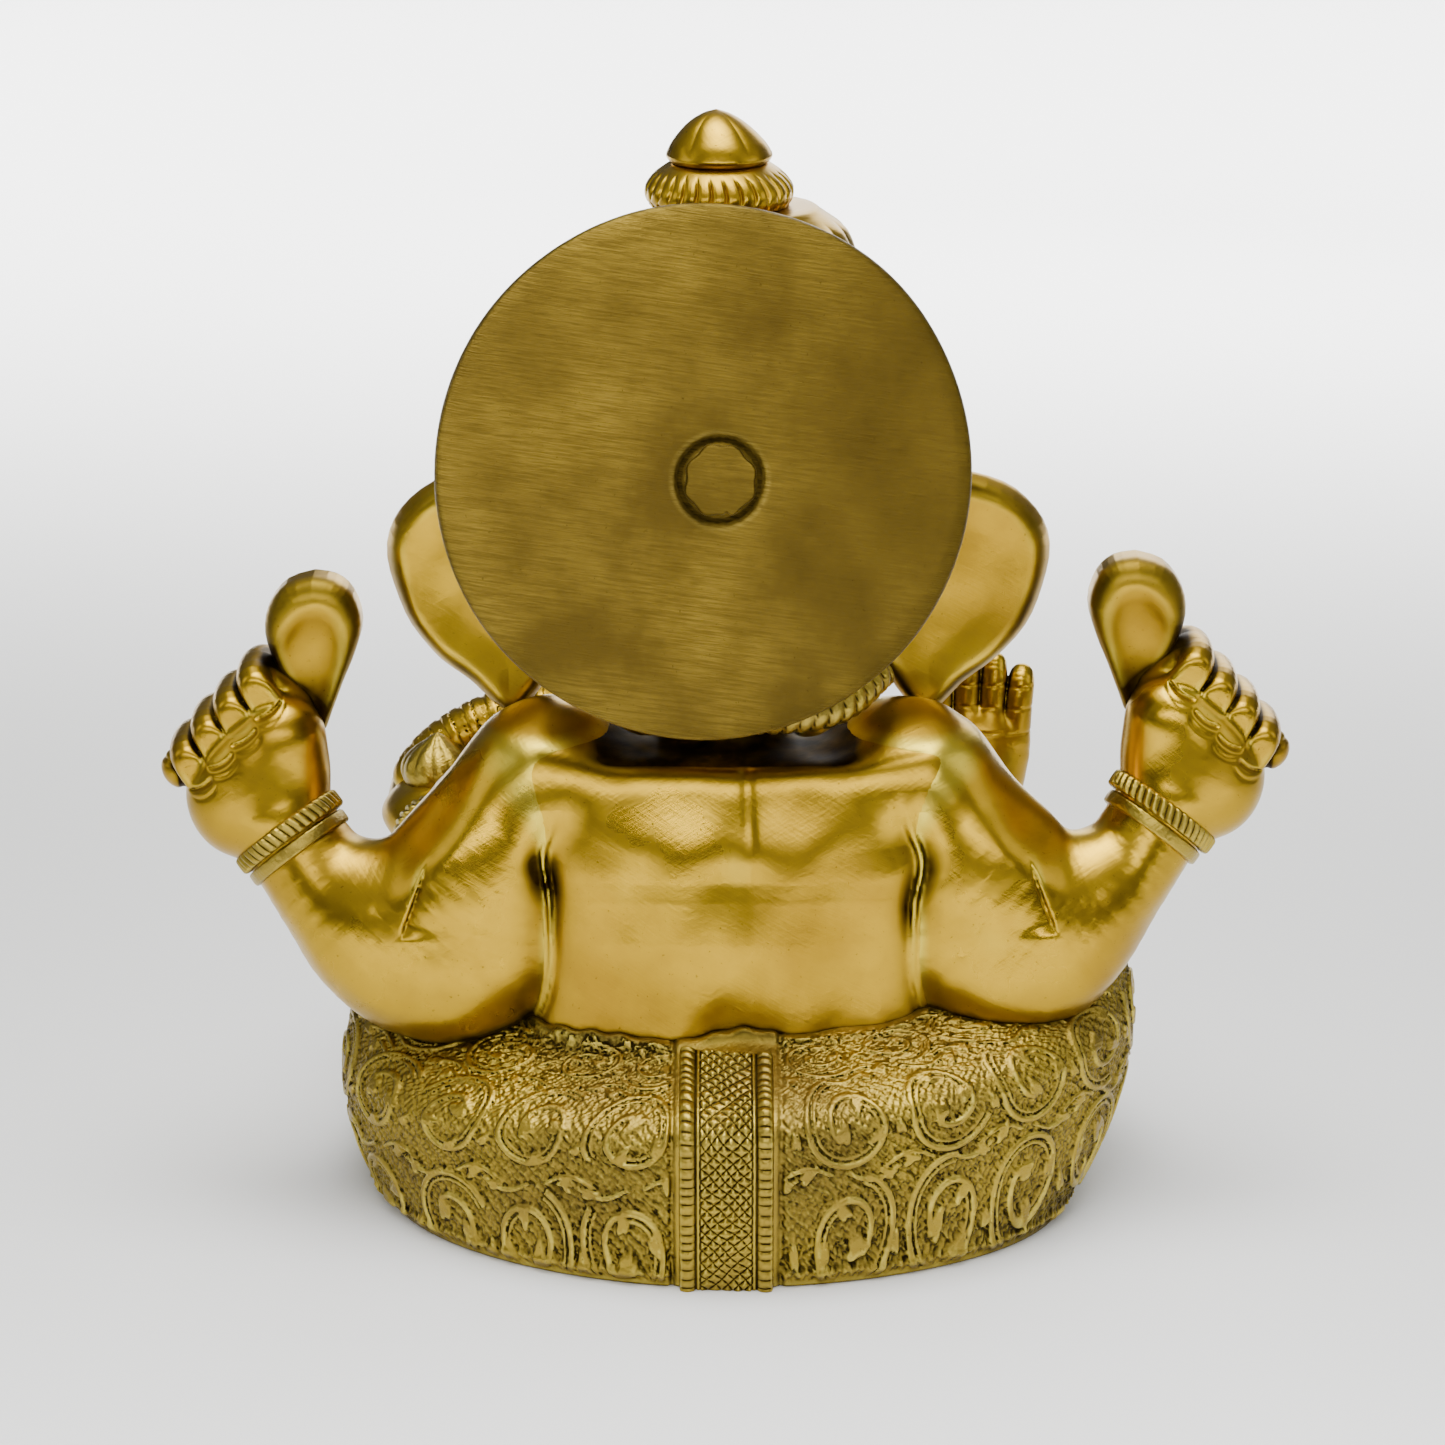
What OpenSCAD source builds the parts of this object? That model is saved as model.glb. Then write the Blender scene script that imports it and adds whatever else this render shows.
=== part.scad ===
// Seated four-armed figure with an elephant's head, in cast brass.
// It is made as a set of castings that are pegged and brazed together:
// a hollow lap, a torso, a head, four arms with their hands, the worn
// ornaments, a tall crown and a round halo disc held by one peened rivet.
// The figure looks along -Y, +Z is up, and the origin is the middle of
// the face it rests on. Its own left side is +X.

/* [Overall] */
// Height from the resting face to the tip of the crown bud
total_h = 178; // [150:1:220]

/* [Lap] */
// Half of the width across the knees
lap_half_w = 66; // [62:1:70]
// Wall thickness of the hollow lap casting
lap_wall = 5; // [4:0.5:7]
// Height of the belt line at the back, where the torso is brazed on
waist_h = 39; // [37:0.5:41]

/* [Halo disc] */
// Radius of the halo disc
halo_r = 40.8; // [36:0.2:43]
// Thickness of the halo disc
halo_t = 3; // [2:0.5:4]
// How far the disc leans forward at its top, in degrees
halo_tilt = 10; // [6:1:14]
// How far the disc turns to the figure's right, in degrees
halo_yaw = 5; // [0:1:8]

/* [Rivet] */
// Radius of the rivet's flat head
rivet_head_r = 5.7; // [5:0.1:7]
// Radius of the rivet's shank
rivet_shank_r = 3.5; // [3:0.1:4.5]
// Length of shank that goes into the boss behind the head
rivet_depth = 12; // [8:1:14]

/* [Rear arms] */
// Distance of each rear wrist from the middle plane
rear_wrist_x = 68; // [66:0.5:70]
// Height of each rear wrist
rear_wrist_z = 60; // [58:0.5:62]
// Radius of the round stock of the wrist bangles
bangle_wire_r = 1.5; // [1.2:0.1:1.8]

/* [Crown] */
// Radius of the crown above its roll
crown_r = 25; // [23:0.5:27]
// Radius of the fluted collar under the bud
collar_r = 11.6; // [10:0.1:12]
// Radius of the bud at its widest
bud_r = 8.2; // [7:0.1:9]

/* [Pegs] */
// Radius of the pegs that hold the arms
peg_r = 3; // [2:0.5:4]
// Radius of the spigot in the neck
spigot_r = 5; // [4:0.5:6]

/* [Hidden] */

design_h = 178;        // every place below is stated for this height
body_fn = 20;          // facets round the large rounded masses
limb_fn = 12;          // facets round arms and legs
digit_fn = 6;          // facets round fingers and toes
middle_y = 5;          // puts the middle of the depth at the origin
clear = 0.02;          // gap left where one casting seats on another

brass = [0.72, 0.56, 0.25];
pale_brass = [0.80, 0.66, 0.33];
olive_brass = [0.55, 0.45, 0.20];

halo_centre = [2.7, 25, 126.6];
rivet_offset = [-2.2, 1];   // across the disc, then down it, from its centre
seat_r = 13;           // radius of the boss that the disc is riveted to
seat_depth = 16;       // how far that boss starts behind the disc's middle

// ---------------------------------------------------------------- helpers

// A point of a smooth curve through p1 and p2, at t from 0 to 1.
function curve_point(p0, p1, p2, p3, t) =
    0.5 * (2 * p1 + (p2 - p0) * t + (2 * p0 - 5 * p1 + 4 * p2 - p3) * t * t
    + (3 * p1 - p0 - 3 * p2 + p3) * t * t * t);

// A list of [x, y, z, radius] with steps points put between each pair.
function smooth_path(p, steps) = [
    for (i = [0:len(p) - 2]) for (j = [0:steps - 1])
        curve_point(p[max(i - 1, 0)], p[i], p[i + 1], p[min(i + 2, len(p) - 1)], j / steps),
    p[len(p) - 1]
];

// The mirror image of a limb's points, on the figure's right side.
function flipped(p) = [for (q = p) [-q[0], q[1], q[2], q[3]]];

// Points of a ring round a centre, each with the same bead radius.
function ring_path(centre, ring_r, wire_r, from, to, n) = [
    for (i = [0:n]) let (a = from + (to - from) * i / n)
        [centre[0] + ring_r[0] * cos(a), centre[1] + ring_r[1] * sin(a),
         centre[2] + ring_r[2] * sin(a), wire_r]
];

// Brings a piece to the chosen height, with the origin under the middle of the whole figure.
module sized() scale(total_h / design_h) translate([0, middle_y, 0]) children();

module bead(q) translate([q[0], q[1], q[2]]) sphere(r = q[3]);

// A rounded limb through a list of [x, y, z, radius].
module limb(points, steps = 3) {
    path = smooth_path(points, steps);
    for (i = [0:len(path) - 2]) hull() {
        bead(path[i]);
        bead(path[i + 1]);
    }
}

// An egg-shaped mass.
module mass(centre, size, turn = [0, 0, 0])
    hull() translate(centre) rotate(turn) scale(size) sphere(r = 1);

// Everything that stands in the halo's own frame: local +Z is its outward face.
module at_halo() translate(halo_centre) rotate([-90 + halo_tilt, 0, halo_yaw]) children();

// A round wire ring across a limb, with its axis along dir.
module wire_ring(centre, dir, ring_r, wire_r)
    translate(centre) rotate([0, acos(dir[2] / norm(dir)), atan2(dir[1], dir[0])])
        rotate_extrude($fn = 48) translate([ring_r, 0]) circle(r = wire_r, $fn = 20);

// ---------------------------------------------------------------- lap

lap_shift = -2.5;      // the knees sit a little to the figure's right
knee_r = 19;
knee_y = -18;
lap_widest_z = 19;
left_knee_z = 17;
right_knee_z = 22;     // the right knee is held a little higher
sash_x = -0.6;
sash_w = 15;
sash_proud = 1.2;      // how far the sash stands out from the cloth behind it
base_inset = 11;       // how far the resting face lies inside the widest outline

// A flat oval slice of the lap, used as a station between which it is hulled.
module slice(half_w, back_y, front_y, z, h = 0.5)
    translate([0, (back_y + front_y) / 2, z]) scale([half_w, (back_y - front_y) / 2, 1])
        cylinder(r = 1, h = h, $fn = 32);

// The broad bowl of cloth that the figure sits in.
module bowl_form(inset = 0) hull() {
    slice(lap_half_w - base_inset - inset, 45 - inset, -40 + inset, 0);
    slice(lap_half_w - 2 - inset, 47.5 - inset, -42 + inset, lap_widest_z);
    slice(40 - inset, 42 - inset, -30 + inset, waist_h - inset);
}

// One folded leg: the knee, then the shin back in to the ankle, standing on the floor.
module leg_form(side, ankle) {
    knee_x = side * (lap_half_w - knee_r);
    knee_z = side > 0 ? left_knee_z : right_knee_z;
    path = smooth_path([[knee_x, knee_y, knee_z, knee_r], [side * 32, -34, 15, 14.5], ankle], 2);
    for (i = [0:len(path) - 2]) hull() for (q = [path[i], path[i + 1]]) {
        bead(q);
        translate([q[0], q[1], 0]) cylinder(r = q[3] * 0.6, h = 1);
    }
}

// The outside of the lap, cut flat underneath.
module lap_form() {
    intersection() {
        translate([lap_shift, 0, 0]) {
            bowl_form();
            leg_form(1, [2, -43, 18, 9]);
            leg_form(-1, [4, -46, 9, 9.5]);
        }
        translate([-100, -100, 0]) cube([200, 200, waist_h + 5]);
    }
}

// The space inside the lap, open underneath.
module lap_hollow() translate([lap_shift, 0, 0]) hull() {
    slice(lap_half_w - base_inset - lap_wall, 45 - lap_wall, -36 + lap_wall, -1, 1);
    slice(lap_half_w - 4 - lap_wall, 46 - lap_wall, -36 + lap_wall, lap_widest_z);
    slice(32, 34, -22, waist_h - 7);
}

module lap_casting() color(pale_brass) sized() difference() {
    lap_form($fn = body_fn);
    lap_hollow($fn = 32);
    feet_forms();
}

// The hanging sash down the middle of the back: the bowl's own back wall, standing proud.
module back_sash() color(pale_brass) sized() difference() {
    intersection() {
        translate([lap_shift, sash_proud, 0]) bowl_form();
        translate([sash_x - sash_w / 2, 20, 0]) cube([sash_w, 40, waist_h - 1]);
    }
    translate([lap_shift, 0, 0]) bowl_form();
    torso_form($fn = body_fn);
}

// ---------------------------------------------------------------- feet

// A foot from its ankle to the ball, with five toes in a fan.
module foot_form(ankle, ball, toe_dir, out) {
    limb([[ankle[0], ankle[1], ankle[2], 6.2], [(ankle[0] + ball[0]) / 2, (ankle[1] + ball[1]) / 2,
        (ankle[2] + ball[2]) / 2, 6.4], [ball[0], ball[1], ball[2], 6]], 2);
    for (i = [0:4]) {
        k = i - 2;
        base = ball + out * k * 2.3 + toe_dir * 2;
        tip = base + toe_dir * (8.4 - 0.7 * i) + out * k * 0.35;
        hull() {
            bead([base[0], base[1], base[2], 2.4 - 0.12 * i], $fn = digit_fn);
            bead([tip[0], tip[1], tip[2], 2.3 - 0.2 * i], $fn = digit_fn);
        }
    }
}

module left_foot_form() foot_form([-4, -45, 21.5], [-19, -45, 23.5], [-1, 0.08, 0.05], [0, -0.45, 0.7]);
module right_foot_form() foot_form([12, -47.5, 8.4], [27, -47, 8.2], [1, 0.08, 0], [0, -0.3, 0.75]);

module feet_forms() {
    left_foot_form($fn = limb_fn);
    right_foot_form($fn = limb_fn);
}

module left_foot() color(brass) sized() left_foot_form($fn = limb_fn);
module right_foot() color(brass) sized() right_foot_form($fn = limb_fn);

module left_anklet() color(olive_brass) sized() wire_ring([-1, -43.8, 19.3], [1, -0.05, -0.12], 10.2, 1.3);

// The right anklet lies under the shin, so the floor's plane cuts it.
module right_anklet() color(olive_brass) sized() difference() {
    wire_ring([6, -46.4, 9.9], [1, -0.05, 0], 10.6, 1.3);
    translate([-20, -70, -9.7]) cube([50, 50, 10]);
}

// ---------------------------------------------------------------- torso

module torso_form() {
    limb([[-2, 14, 42, 26], [-2, 10, 56, 25.5], [-2, 9, 68, 21], [-1, 8, 78, 14]], 2);
    limb([[18, 11, 76, 11], [-1, 11, 78, 14], [-20, 11, 76, 11]], 1);
    mass([-1, -12, 46], [31, 31, 24]);
    mass([-12, 0, 71], [13, 15, 11]);
    mass([11, 0, 71], [13, 15, 11]);
    limb([[0, 6, 78, 13], [0, 3, 92, 14]], 1);
}

module torso() color(brass) sized() difference() {
    torso_form($fn = body_fn);
    lap_form($fn = body_fn);
    peg_forms(clear);
    spigot_form(clear);
}

// A belt of ribbed wire under the belly, with a round clasp.
module belly_belt() color(pale_brass) sized() difference() {
    union() {
        limb(ring_path([-1, -6, 38.5], [33, 34, 0], 2.2, 200, 340, 8), 1, $fn = 8);
        mass([-1, -40.5, 38.5], [5, 3, 4.5], $fn = 12);
    }
    torso_form($fn = body_fn);
    lap_form($fn = body_fn);
}

// The cord worn from the left shoulder across the belly.
module sacred_thread() color(pale_brass) sized() difference() {
    limb([
        [19, -8, 80, 1.5], [21, -15, 70, 1.5], [22, -26, 62, 1.5], [19, -37, 52, 1.6],
        [8, -42.5, 47, 1.6], [-8, -43, 46, 1.6], [-22, -36, 46, 1.6], [-30, -22, 52, 1.5]
    ], 2, $fn = 6);
    torso_form($fn = body_fn);
    lap_form($fn = body_fn);
    front_arm_forms();
}

// A beaded necklace with a pendant.
module necklace() color(pale_brass) sized() difference() {
    union() {
        limb([
            [16.5, 2, 84, 2], [16, -8, 79.5, 2.1], [9.5, -14.5, 75, 2.2], [0, -17, 73, 2.3],
            [-9.5, -14.5, 75, 2.2], [-16, -8, 79.5, 2.1], [-16.5, 2, 84, 2]
        ], 2, $fn = 8);
        mass([0, -18.5, 69.5], [4.2, 2.4, 4.8], $fn = 12);
    }
    torso_form($fn = body_fn);
    trunk_form($fn = limb_fn);
}

// ---------------------------------------------------------------- head

module head_form() {
    mass([0, -5, 117], [25.5, 23, 22]);
    mass([8.5, -18, 122], [13, 11, 13]);
    mass([-8.5, -18, 122], [13, 11, 13]);
    mass([12, -17, 106], [13, 13, 12]);
    mass([-12, -17, 106], [13, 13, 12]);
    limb([[0, -20, 112, 15], [0, 3, 108, 20], [0, 4, 98, 16]], 1);
}

// The seat behind the skull that the halo disc is riveted to.
module halo_seat() rivet_place() translate([0, 0, -seat_depth])
    cylinder(r = seat_r, h = seat_depth - halo_t / 2, $fn = 32);

module head() color(brass) sized() difference() {
    union() {
        head_form($fn = body_fn);
        halo_seat();
    }
    torso_form($fn = body_fn);
    spigot_form(clear);
    rivet_form(clear);
    tusk_forms();
}

// The trunk hangs from the face and curls to the figure's left.
module trunk_form() limb([
    [0, -31, 108, 11.5], [0, -39, 98, 10], [1, -43.5, 86, 8.6], [6, -47, 74, 7.6],
    [16, -50.5, 64, 6.8], [29, -52, 57.5, 6], [39.5, -51, 57.5, 5.2], [43.5, -49.5, 62.5, 4.5]
], 2);

module trunk() color(brass) sized() difference() {
    trunk_form($fn = limb_fn);
    head_form($fn = body_fn);
    torso_form($fn = body_fn);
    tusk_forms();
}

// A broad ear with a rolled rim; side is 1 for the figure's left.
module ear_form(side) {
    for (row = [0:3]) hull() for (k = [row, row + 1]) {
        z = 113 - 7.6 * k;
        reach = 50.5 - 0.9 * k * k;
        translate([side * 17, 2, z]) sphere(r = 3.4);
        translate([side * (reach - 2), -5, z + 2]) sphere(r = 3.4);
    }
    limb([
        [side * 40, -4, 116.5, 3], [side * 49, -6, 113.5, 3.2], [side * 50.3, -7, 106, 3.2],
        [side * 48.2, -7, 97, 3.2], [side * 43, -6, 89.5, 3.2], [side * 35, -3, 84.5, 3.2]
    ], 2);
}

module ear(side) color(brass) sized() difference() {
    ear_form(side, $fn = 10);
    head_form($fn = body_fn);
    torso_form($fn = body_fn);
    rear_arm_forms();
    front_arm_forms();
    nape_form();
}

module left_ear() ear(1);
module right_ear() ear(-1);

module tusk_form(side, length) limb([
    [side * 10, -24, 101, 3.4], [side * 12.5, -35, 97, 3.1],
    [side * (12.5 + length * 0.16), -35 - length * 0.8, 97 - length * 0.05, 2.2]
], 4);

module tusk_forms() {
    tusk_form(1, 9, $fn = 8);
    tusk_form(-1, 16, $fn = 8);
}

module left_tusk() color(pale_brass) sized() tusk_form(1, 9, $fn = 8);
module right_tusk() color(pale_brass) sized() tusk_form(-1, 16, $fn = 8);

// A ribbed roll of hair across the nape, under the halo.
module nape_form() limb([
    [24, 10, 91, 3.2], [16, 19, 87.5, 3.4], [0, 23.5, 85.6, 3.5], [-16, 20, 87.5, 3.4], [-25, 11, 91.5, 3.2]
], 2, $fn = 8);

module nape_roll() color(olive_brass) sized() difference() {
    nape_form();
    torso_form($fn = body_fn);
    head_form($fn = body_fn);
    rear_arm_forms();
    at_halo() translate([0, 0, -halo_t / 2 - 0.1]) cylinder(r = halo_r, h = 10, $fn = 64);
}

// ---------------------------------------------------------------- crown

crown_x = 0.5;
crown_y = -1;
crown_base = 131;
crown_top = 163;
collar_h = 7;
tenon_r = 2.5;

module crown_roll_form() translate([crown_x, crown_y, crown_base - 1]) rotate([-8, 0, 0])
    rotate_extrude($fn = 48) translate([crown_r - 0.5, 0]) circle(r = 2.8, $fn = 20);

module crown_roll() color(olive_brass) sized() difference() {
    crown_roll_form();
    translate([0, 0, 1]) head_ball();
    halo_keepout();
}

// The part of the head that the crown sits on, as one plain ball.
module head_ball() translate([0, -5, 117]) scale([25.5, 23, 22]) sphere(r = 1, $fn = 48);

// The space that the halo disc and what is behind it take.
module halo_keepout() {
    at_halo() translate([0, 0, -halo_t / 2 - clear]) cylinder(r = halo_r + 4, h = 30, $fn = 96);
    rivet_place() translate([0, 0, -seat_depth - clear]) cylinder(r = seat_r, h = seat_depth, $fn = 32);
}

// The tall crown: a bulbed dome in two tiers, turned about its own axis.
module crown_shape(inset = 0) translate([crown_x, crown_y, 0]) rotate_extrude($fn = 64) polygon([
    [0, crown_base], [crown_r - 1.2, crown_base], [crown_r - 1.4, crown_base + 6], [crown_r - 3, crown_base + 11],
    [crown_r - 5.4, crown_base + 15.5], [crown_r - 8, crown_base + 18.5], [crown_r - 8.2, crown_base + 20],
    [crown_r - 7.2, crown_base + 22], [crown_r - 7.4, crown_base + 25], [crown_r - 9, crown_base + 28.5],
    [crown_r - 12, crown_base + 31], [crown_r - 14.5, crown_top], [0, crown_top]
]);

module crown() color(brass) sized() difference() {
    crown_shape();
    crown_roll_form();
    head_ball();
    halo_keepout();
    translate([crown_x, crown_y, crown_top - 8]) cylinder(r = tenon_r + clear, h = 20, $fn = 32);
}

// An upright leaf-shaped jewel on the front of the crown.
module jewel_form() translate([crown_x, crown_y - crown_r + 1.4, crown_base]) rotate([90 - 9, 0, 0])
    linear_extrude(2.2) difference() {
        translate([0, 7.5]) scale([0.72, 1]) intersection() {
            translate([-6, 0]) circle(r = 12, $fn = 48);
            translate([6, 0]) circle(r = 12, $fn = 48);
            translate([-12, -5.5]) square([24, 24]);
        }
    }

module crown_jewel() color(pale_brass) sized() jewel_form();

module crown_collar() color(brass) sized() difference() {
    translate([crown_x, crown_y, crown_top]) rotate_extrude($fn = 64) polygon([
        [0, 0], [collar_r - 1.8, 0], [collar_r - 0.4, 0.8], [collar_r, 1.9], [collar_r - 0.3, 3.3],
        [collar_r - 1.5, 5], [collar_r - 3.4, 6.4], [collar_r - 5, collar_h], [0, collar_h]
    ]);
    translate([crown_x, crown_y, crown_top - 1]) cylinder(r = tenon_r + clear, h = 10, $fn = 32);
}

module crown_bud() color(brass) sized() difference() {
    translate([crown_x, crown_y, crown_top + collar_h]) rotate_extrude($fn = 64) polygon([
        [0, 0], [bud_r - 1.6, 0], [bud_r - 0.3, 0.6], [bud_r, 1.5], [bud_r - 1, 3.4],
        [bud_r - 3.2, 5.6], [bud_r - 5.8, 7.3], [0, design_h - crown_top - collar_h]
    ]);
    translate([crown_x, crown_y, crown_top - 1]) cylinder(r = tenon_r + clear, h = 10, $fn = 32);
}

module crown_tenon() color(olive_brass) sized()
    translate([crown_x, crown_y, crown_top - 8]) cylinder(r = tenon_r, h = 17, $fn = 32);

// ---------------------------------------------------------------- halo

module rivet_place() at_halo() translate([rivet_offset[0], rivet_offset[1], 0]) children();

module halo_disc() color(olive_brass) sized() difference() {
    at_halo() cylinder(r = halo_r, h = halo_t, center = true, $fn = 96);
    rivet_place() cylinder(r = rivet_shank_r + clear, h = halo_t * 3, center = true, $fn = 32);
}

module rivet_form(gap = 0) rivet_place() translate([0, 0, -halo_t / 2 - rivet_depth])
    cylinder(r = rivet_shank_r + gap, h = rivet_depth + halo_t, $fn = 32);

module halo_rivet() color(pale_brass) sized() {
    rivet_form();
    rivet_place() translate([0, 0, halo_t / 2]) cylinder(r1 = rivet_head_r, r2 = rivet_head_r - 0.4, h = 0.8, $fn = 32);
}

// ---------------------------------------------------------------- rear arms

wrist_r = 7.8;
rear_arm_path = [
    [28, 13, 74, 12], [33, 15, 62, 13.8], [39, 17, 45.5, 14.5], [52, 15, 43, 9.8],
    [61, 12, 51, 8.4], [rear_wrist_x, 9, rear_wrist_z, wrist_r]
];

module rear_arm_form(side) limb(side > 0 ? rear_arm_path : flipped(rear_arm_path), 2);

module rear_arm_forms() {
    rear_arm_form(1, $fn = limb_fn);
    rear_arm_form(-1, $fn = limb_fn);
}

module rear_arm(side) color(brass) sized() difference() {
    rear_arm_form(side, $fn = limb_fn);
    torso_form($fn = body_fn);
    lap_form($fn = body_fn);
    head_form($fn = body_fn);
    peg_forms(clear);
}

module rear_left_arm() rear_arm(1);
module rear_right_arm() rear_arm(-1);

// A closed fist whose fingers lie across the top in a slanting row.
module rear_hand_form() {
    limb([[rear_wrist_x + 0.5, 9, rear_wrist_z + 2, 7.4], [71, 7, 68, 8.8], [73.5, 4, 75, 9.2]], 2);
    limb([[72, 2, 80, 8], [76, 0, 82, 7]], 2);
    for (i = [0:3]) {
        base = [73.5 + 4.6 * i, 5, 89.5 - 4.6 * i];
        hull() {
            bead([base[0] - 3.2, base[1], base[2] - 3.4, 3], $fn = digit_fn);
            bead([base[0], base[1] - 2, base[2], 2.9], $fn = digit_fn);
        }
        hull() {
            bead([base[0], base[1] - 2, base[2], 2.9], $fn = digit_fn);
            bead([base[0] - 1.5, base[1] - 11, base[2] - 1.5, 2.7], $fn = digit_fn);
        }
        hull() {
            bead([base[0] - 1.5, base[1] - 11, base[2] - 1.5, 2.7], $fn = digit_fn);
            bead([base[0] - 5.5, base[1] - 12, base[2] - 6, 2.6], $fn = digit_fn);
        }
    }
    limb([[66, 3, 74, 4], [64.5, -4, 79, 3.6], [66, -9, 83, 3]], 1, $fn = digit_fn);
}

// The short paddle-shaped grip of the thing held: a noose's loop or a goad's head.
module grip_form() {
    limb([[81, -4, 74, 2.2], [72, -4, 82, 2.6], [67, 0, 89, 4]], 3, $fn = 8);
    mass([65.4, 2, 96.4], [7.9, 5, 8.6], [0, -14, 0], $fn = 16);
    mass([64.9, 2, 99], [6.4, 4.6, 6], [0, 0, 0], $fn = 12);
}

module other_side() mirror([1, 0, 0]) children();

module rear_hand() difference() {
    rear_hand_form($fn = limb_fn);
    limb(rear_arm_path, 2, $fn = limb_fn);
    grip_form();
}

module rear_bangles() {
    dir = [7, -3, 9];
    wrist = [rear_wrist_x, 9, rear_wrist_z];
    for (step = [0.14, -0.12])
        wire_ring(wrist + dir * step, dir, wrist_r + bangle_wire_r - 0.05, bangle_wire_r);
}

module rear_left_hand() color(brass) sized() rear_hand();
module rear_right_hand() color(brass) sized() other_side() rear_hand();
module rear_left_bangles() color(pale_brass) sized() rear_bangles();
module rear_right_bangles() color(pale_brass) sized() other_side() rear_bangles();
module noose_grip() color(brass) sized() grip_form();
module goad_grip() color(brass) sized() other_side() grip_form();

// ---------------------------------------------------------------- front arms

front_left_path = [
    [27, 4, 73, 9.5], [38, -3, 62, 9], [45, -12, 51, 8.4], [47.5, -25, 46.5, 7], [49, -34, 46.5, 6]
];
front_right_path = [
    [-28, 4, 73, 9.5], [-38, -5, 62, 9], [-43, -15, 50, 8.4], [-45, -27, 48, 7], [-45.5, -34, 52, 6]
];

module front_arm_forms() {
    limb(front_left_path, 2, $fn = limb_fn);
    limb(front_right_path, 2, $fn = limb_fn);
}

module front_arm(path) color(brass) sized() difference() {
    limb(path, 2, $fn = limb_fn);
    torso_form($fn = body_fn);
    lap_form($fn = body_fn);
    rear_arm_forms();
    peg_forms(clear);
    head_form($fn = body_fn);
}

module front_left_arm() front_arm(front_left_path);
module front_right_arm() front_arm(front_right_path);

// The left hand lies palm up and holds the sweet.
module front_left_hand_form() {
    limb([[49, -34, 47, 5.6], [50, -40, 48.5, 6.4], [50.5, -46, 49.5, 6.2]], 2);
    for (i = [0:3]) {
        base = [44.6 + 3.8 * i, -50, 50 + 0.3 * i];
        limb([
            [base[0], base[1], base[2], 2.6], [base[0], base[1] - 5, base[2] + 2.5, 2.4],
            [base[0] + 0.3, base[1] - 6.5, base[2] + 7, 2.1]
        ], 1, $fn = digit_fn);
    }
    limb([[44, -38, 49, 3], [41, -40, 53, 2.5], [42, -42, 56.5, 2]], 1, $fn = digit_fn);
}

sweet_place = [49.5, -43.5, 51.5];

// A steamed sweet: a round dumpling drawn up to a point.
module sweet_form() translate(sweet_place) rotate_extrude($fn = 48) polygon([
    [0, 0], [3.2, 0.3], [5.4, 1.9], [6.2, 4.2], [5.7, 6.4], [4.1, 8.3], [2.3, 9.6], [1.1, 10.6], [0, 11.2]
]);

module front_left_hand() color(brass) sized() difference() {
    front_left_hand_form($fn = limb_fn);
    front_arm_forms();
    translate(sweet_place + [0, 0, 5.2]) sphere(r = 6.3, $fn = 20);
}

module sweet() color(pale_brass) sized() sweet_form();

// The right hand is raised with its palm to the front.
module front_right_hand_form() {
    limb([[-45.3, -34.5, 53, 5.6], [-44.5, -36, 58, 6], [-43.8, -36.5, 62, 6.2]], 2);
    mass([-43.8, -36.5, 62], [8.6, 4.6, 7.5]);
    for (i = [0:3]) {
        x = -37.6 - 4 * i;
        top = 77 - 1.3 * abs(i - 1.3);
        limb([[x, -36.5, 66, 2.5], [x - 0.2 * i, -37, 72, 2.35], [x - 0.4 * i, -38, top, 2]], 1, $fn = digit_fn);
    }
    limb([[-39, -37, 58, 3], [-35.2, -39, 63, 2.6], [-34.4, -40, 68.5, 2.2]], 1, $fn = digit_fn);
}

module front_right_hand() color(brass) sized() difference() {
    front_right_hand_form($fn = limb_fn);
    front_arm_forms();
}

module front_bangle(centre, dir) color(pale_brass) sized()
    wire_ring(centre, dir, 6.4 + bangle_wire_r, bangle_wire_r);

module front_left_bangle() front_bangle([48.8, -32, 46.6], [0.15, -1, 0.02]);
module front_right_bangle() front_bangle([-45.3, -31.5, 50.2], [-0.05, -0.85, 0.5]);

// ---------------------------------------------------------------- pegs

// One peg in each shoulder, from the torso through the front arm's root into the rear arm.
module peg_forms(gap = 0) for (side = [-1, 1])
    translate([side * 10, 11, 74]) rotate([0, side * 90, 0]) cylinder(r = peg_r + gap, h = 24, $fn = 32);

module arm_pegs() color(olive_brass) sized() peg_forms();

// The spigot between torso and head.
module spigot_form(gap = 0) translate([0, 4, 82]) cylinder(r = spigot_r + gap, h = 26, $fn = 32);

module neck_spigot() color(olive_brass) sized() spigot_form();

// ---------------------------------------------------------------- assembly

lap_casting();
back_sash();
left_foot();
right_foot();
left_anklet();
right_anklet();
torso();
belly_belt();
sacred_thread();
necklace();
head();
trunk();
left_ear();
right_ear();
left_tusk();
right_tusk();
nape_roll();
crown_roll();
crown();
crown_jewel();
crown_collar();
crown_bud();
crown_tenon();
halo_disc();
halo_rivet();
rear_left_arm();
rear_right_arm();
rear_left_hand();
rear_right_hand();
rear_left_bangles();
rear_right_bangles();
noose_grip();
goad_grip();
front_left_arm();
front_right_arm();
front_left_hand();
front_right_hand();
front_left_bangle();
front_right_bangle();
sweet();
arm_pegs();
neck_spigot();
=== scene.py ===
"""Looks for a seated, four-armed, elephant-headed figure in cast brass.

Lengths inside the sculpting code are millimetres in the figure's own design frame: the origin is on
the floor under the spine, +Z is up, the figure looks along -Y and its left side is +X. Each casting
is a signed distance field that is turned into a mesh; turned and swept pieces are made as grids.
"""

import math
from concurrent.futures import ThreadPoolExecutor

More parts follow.
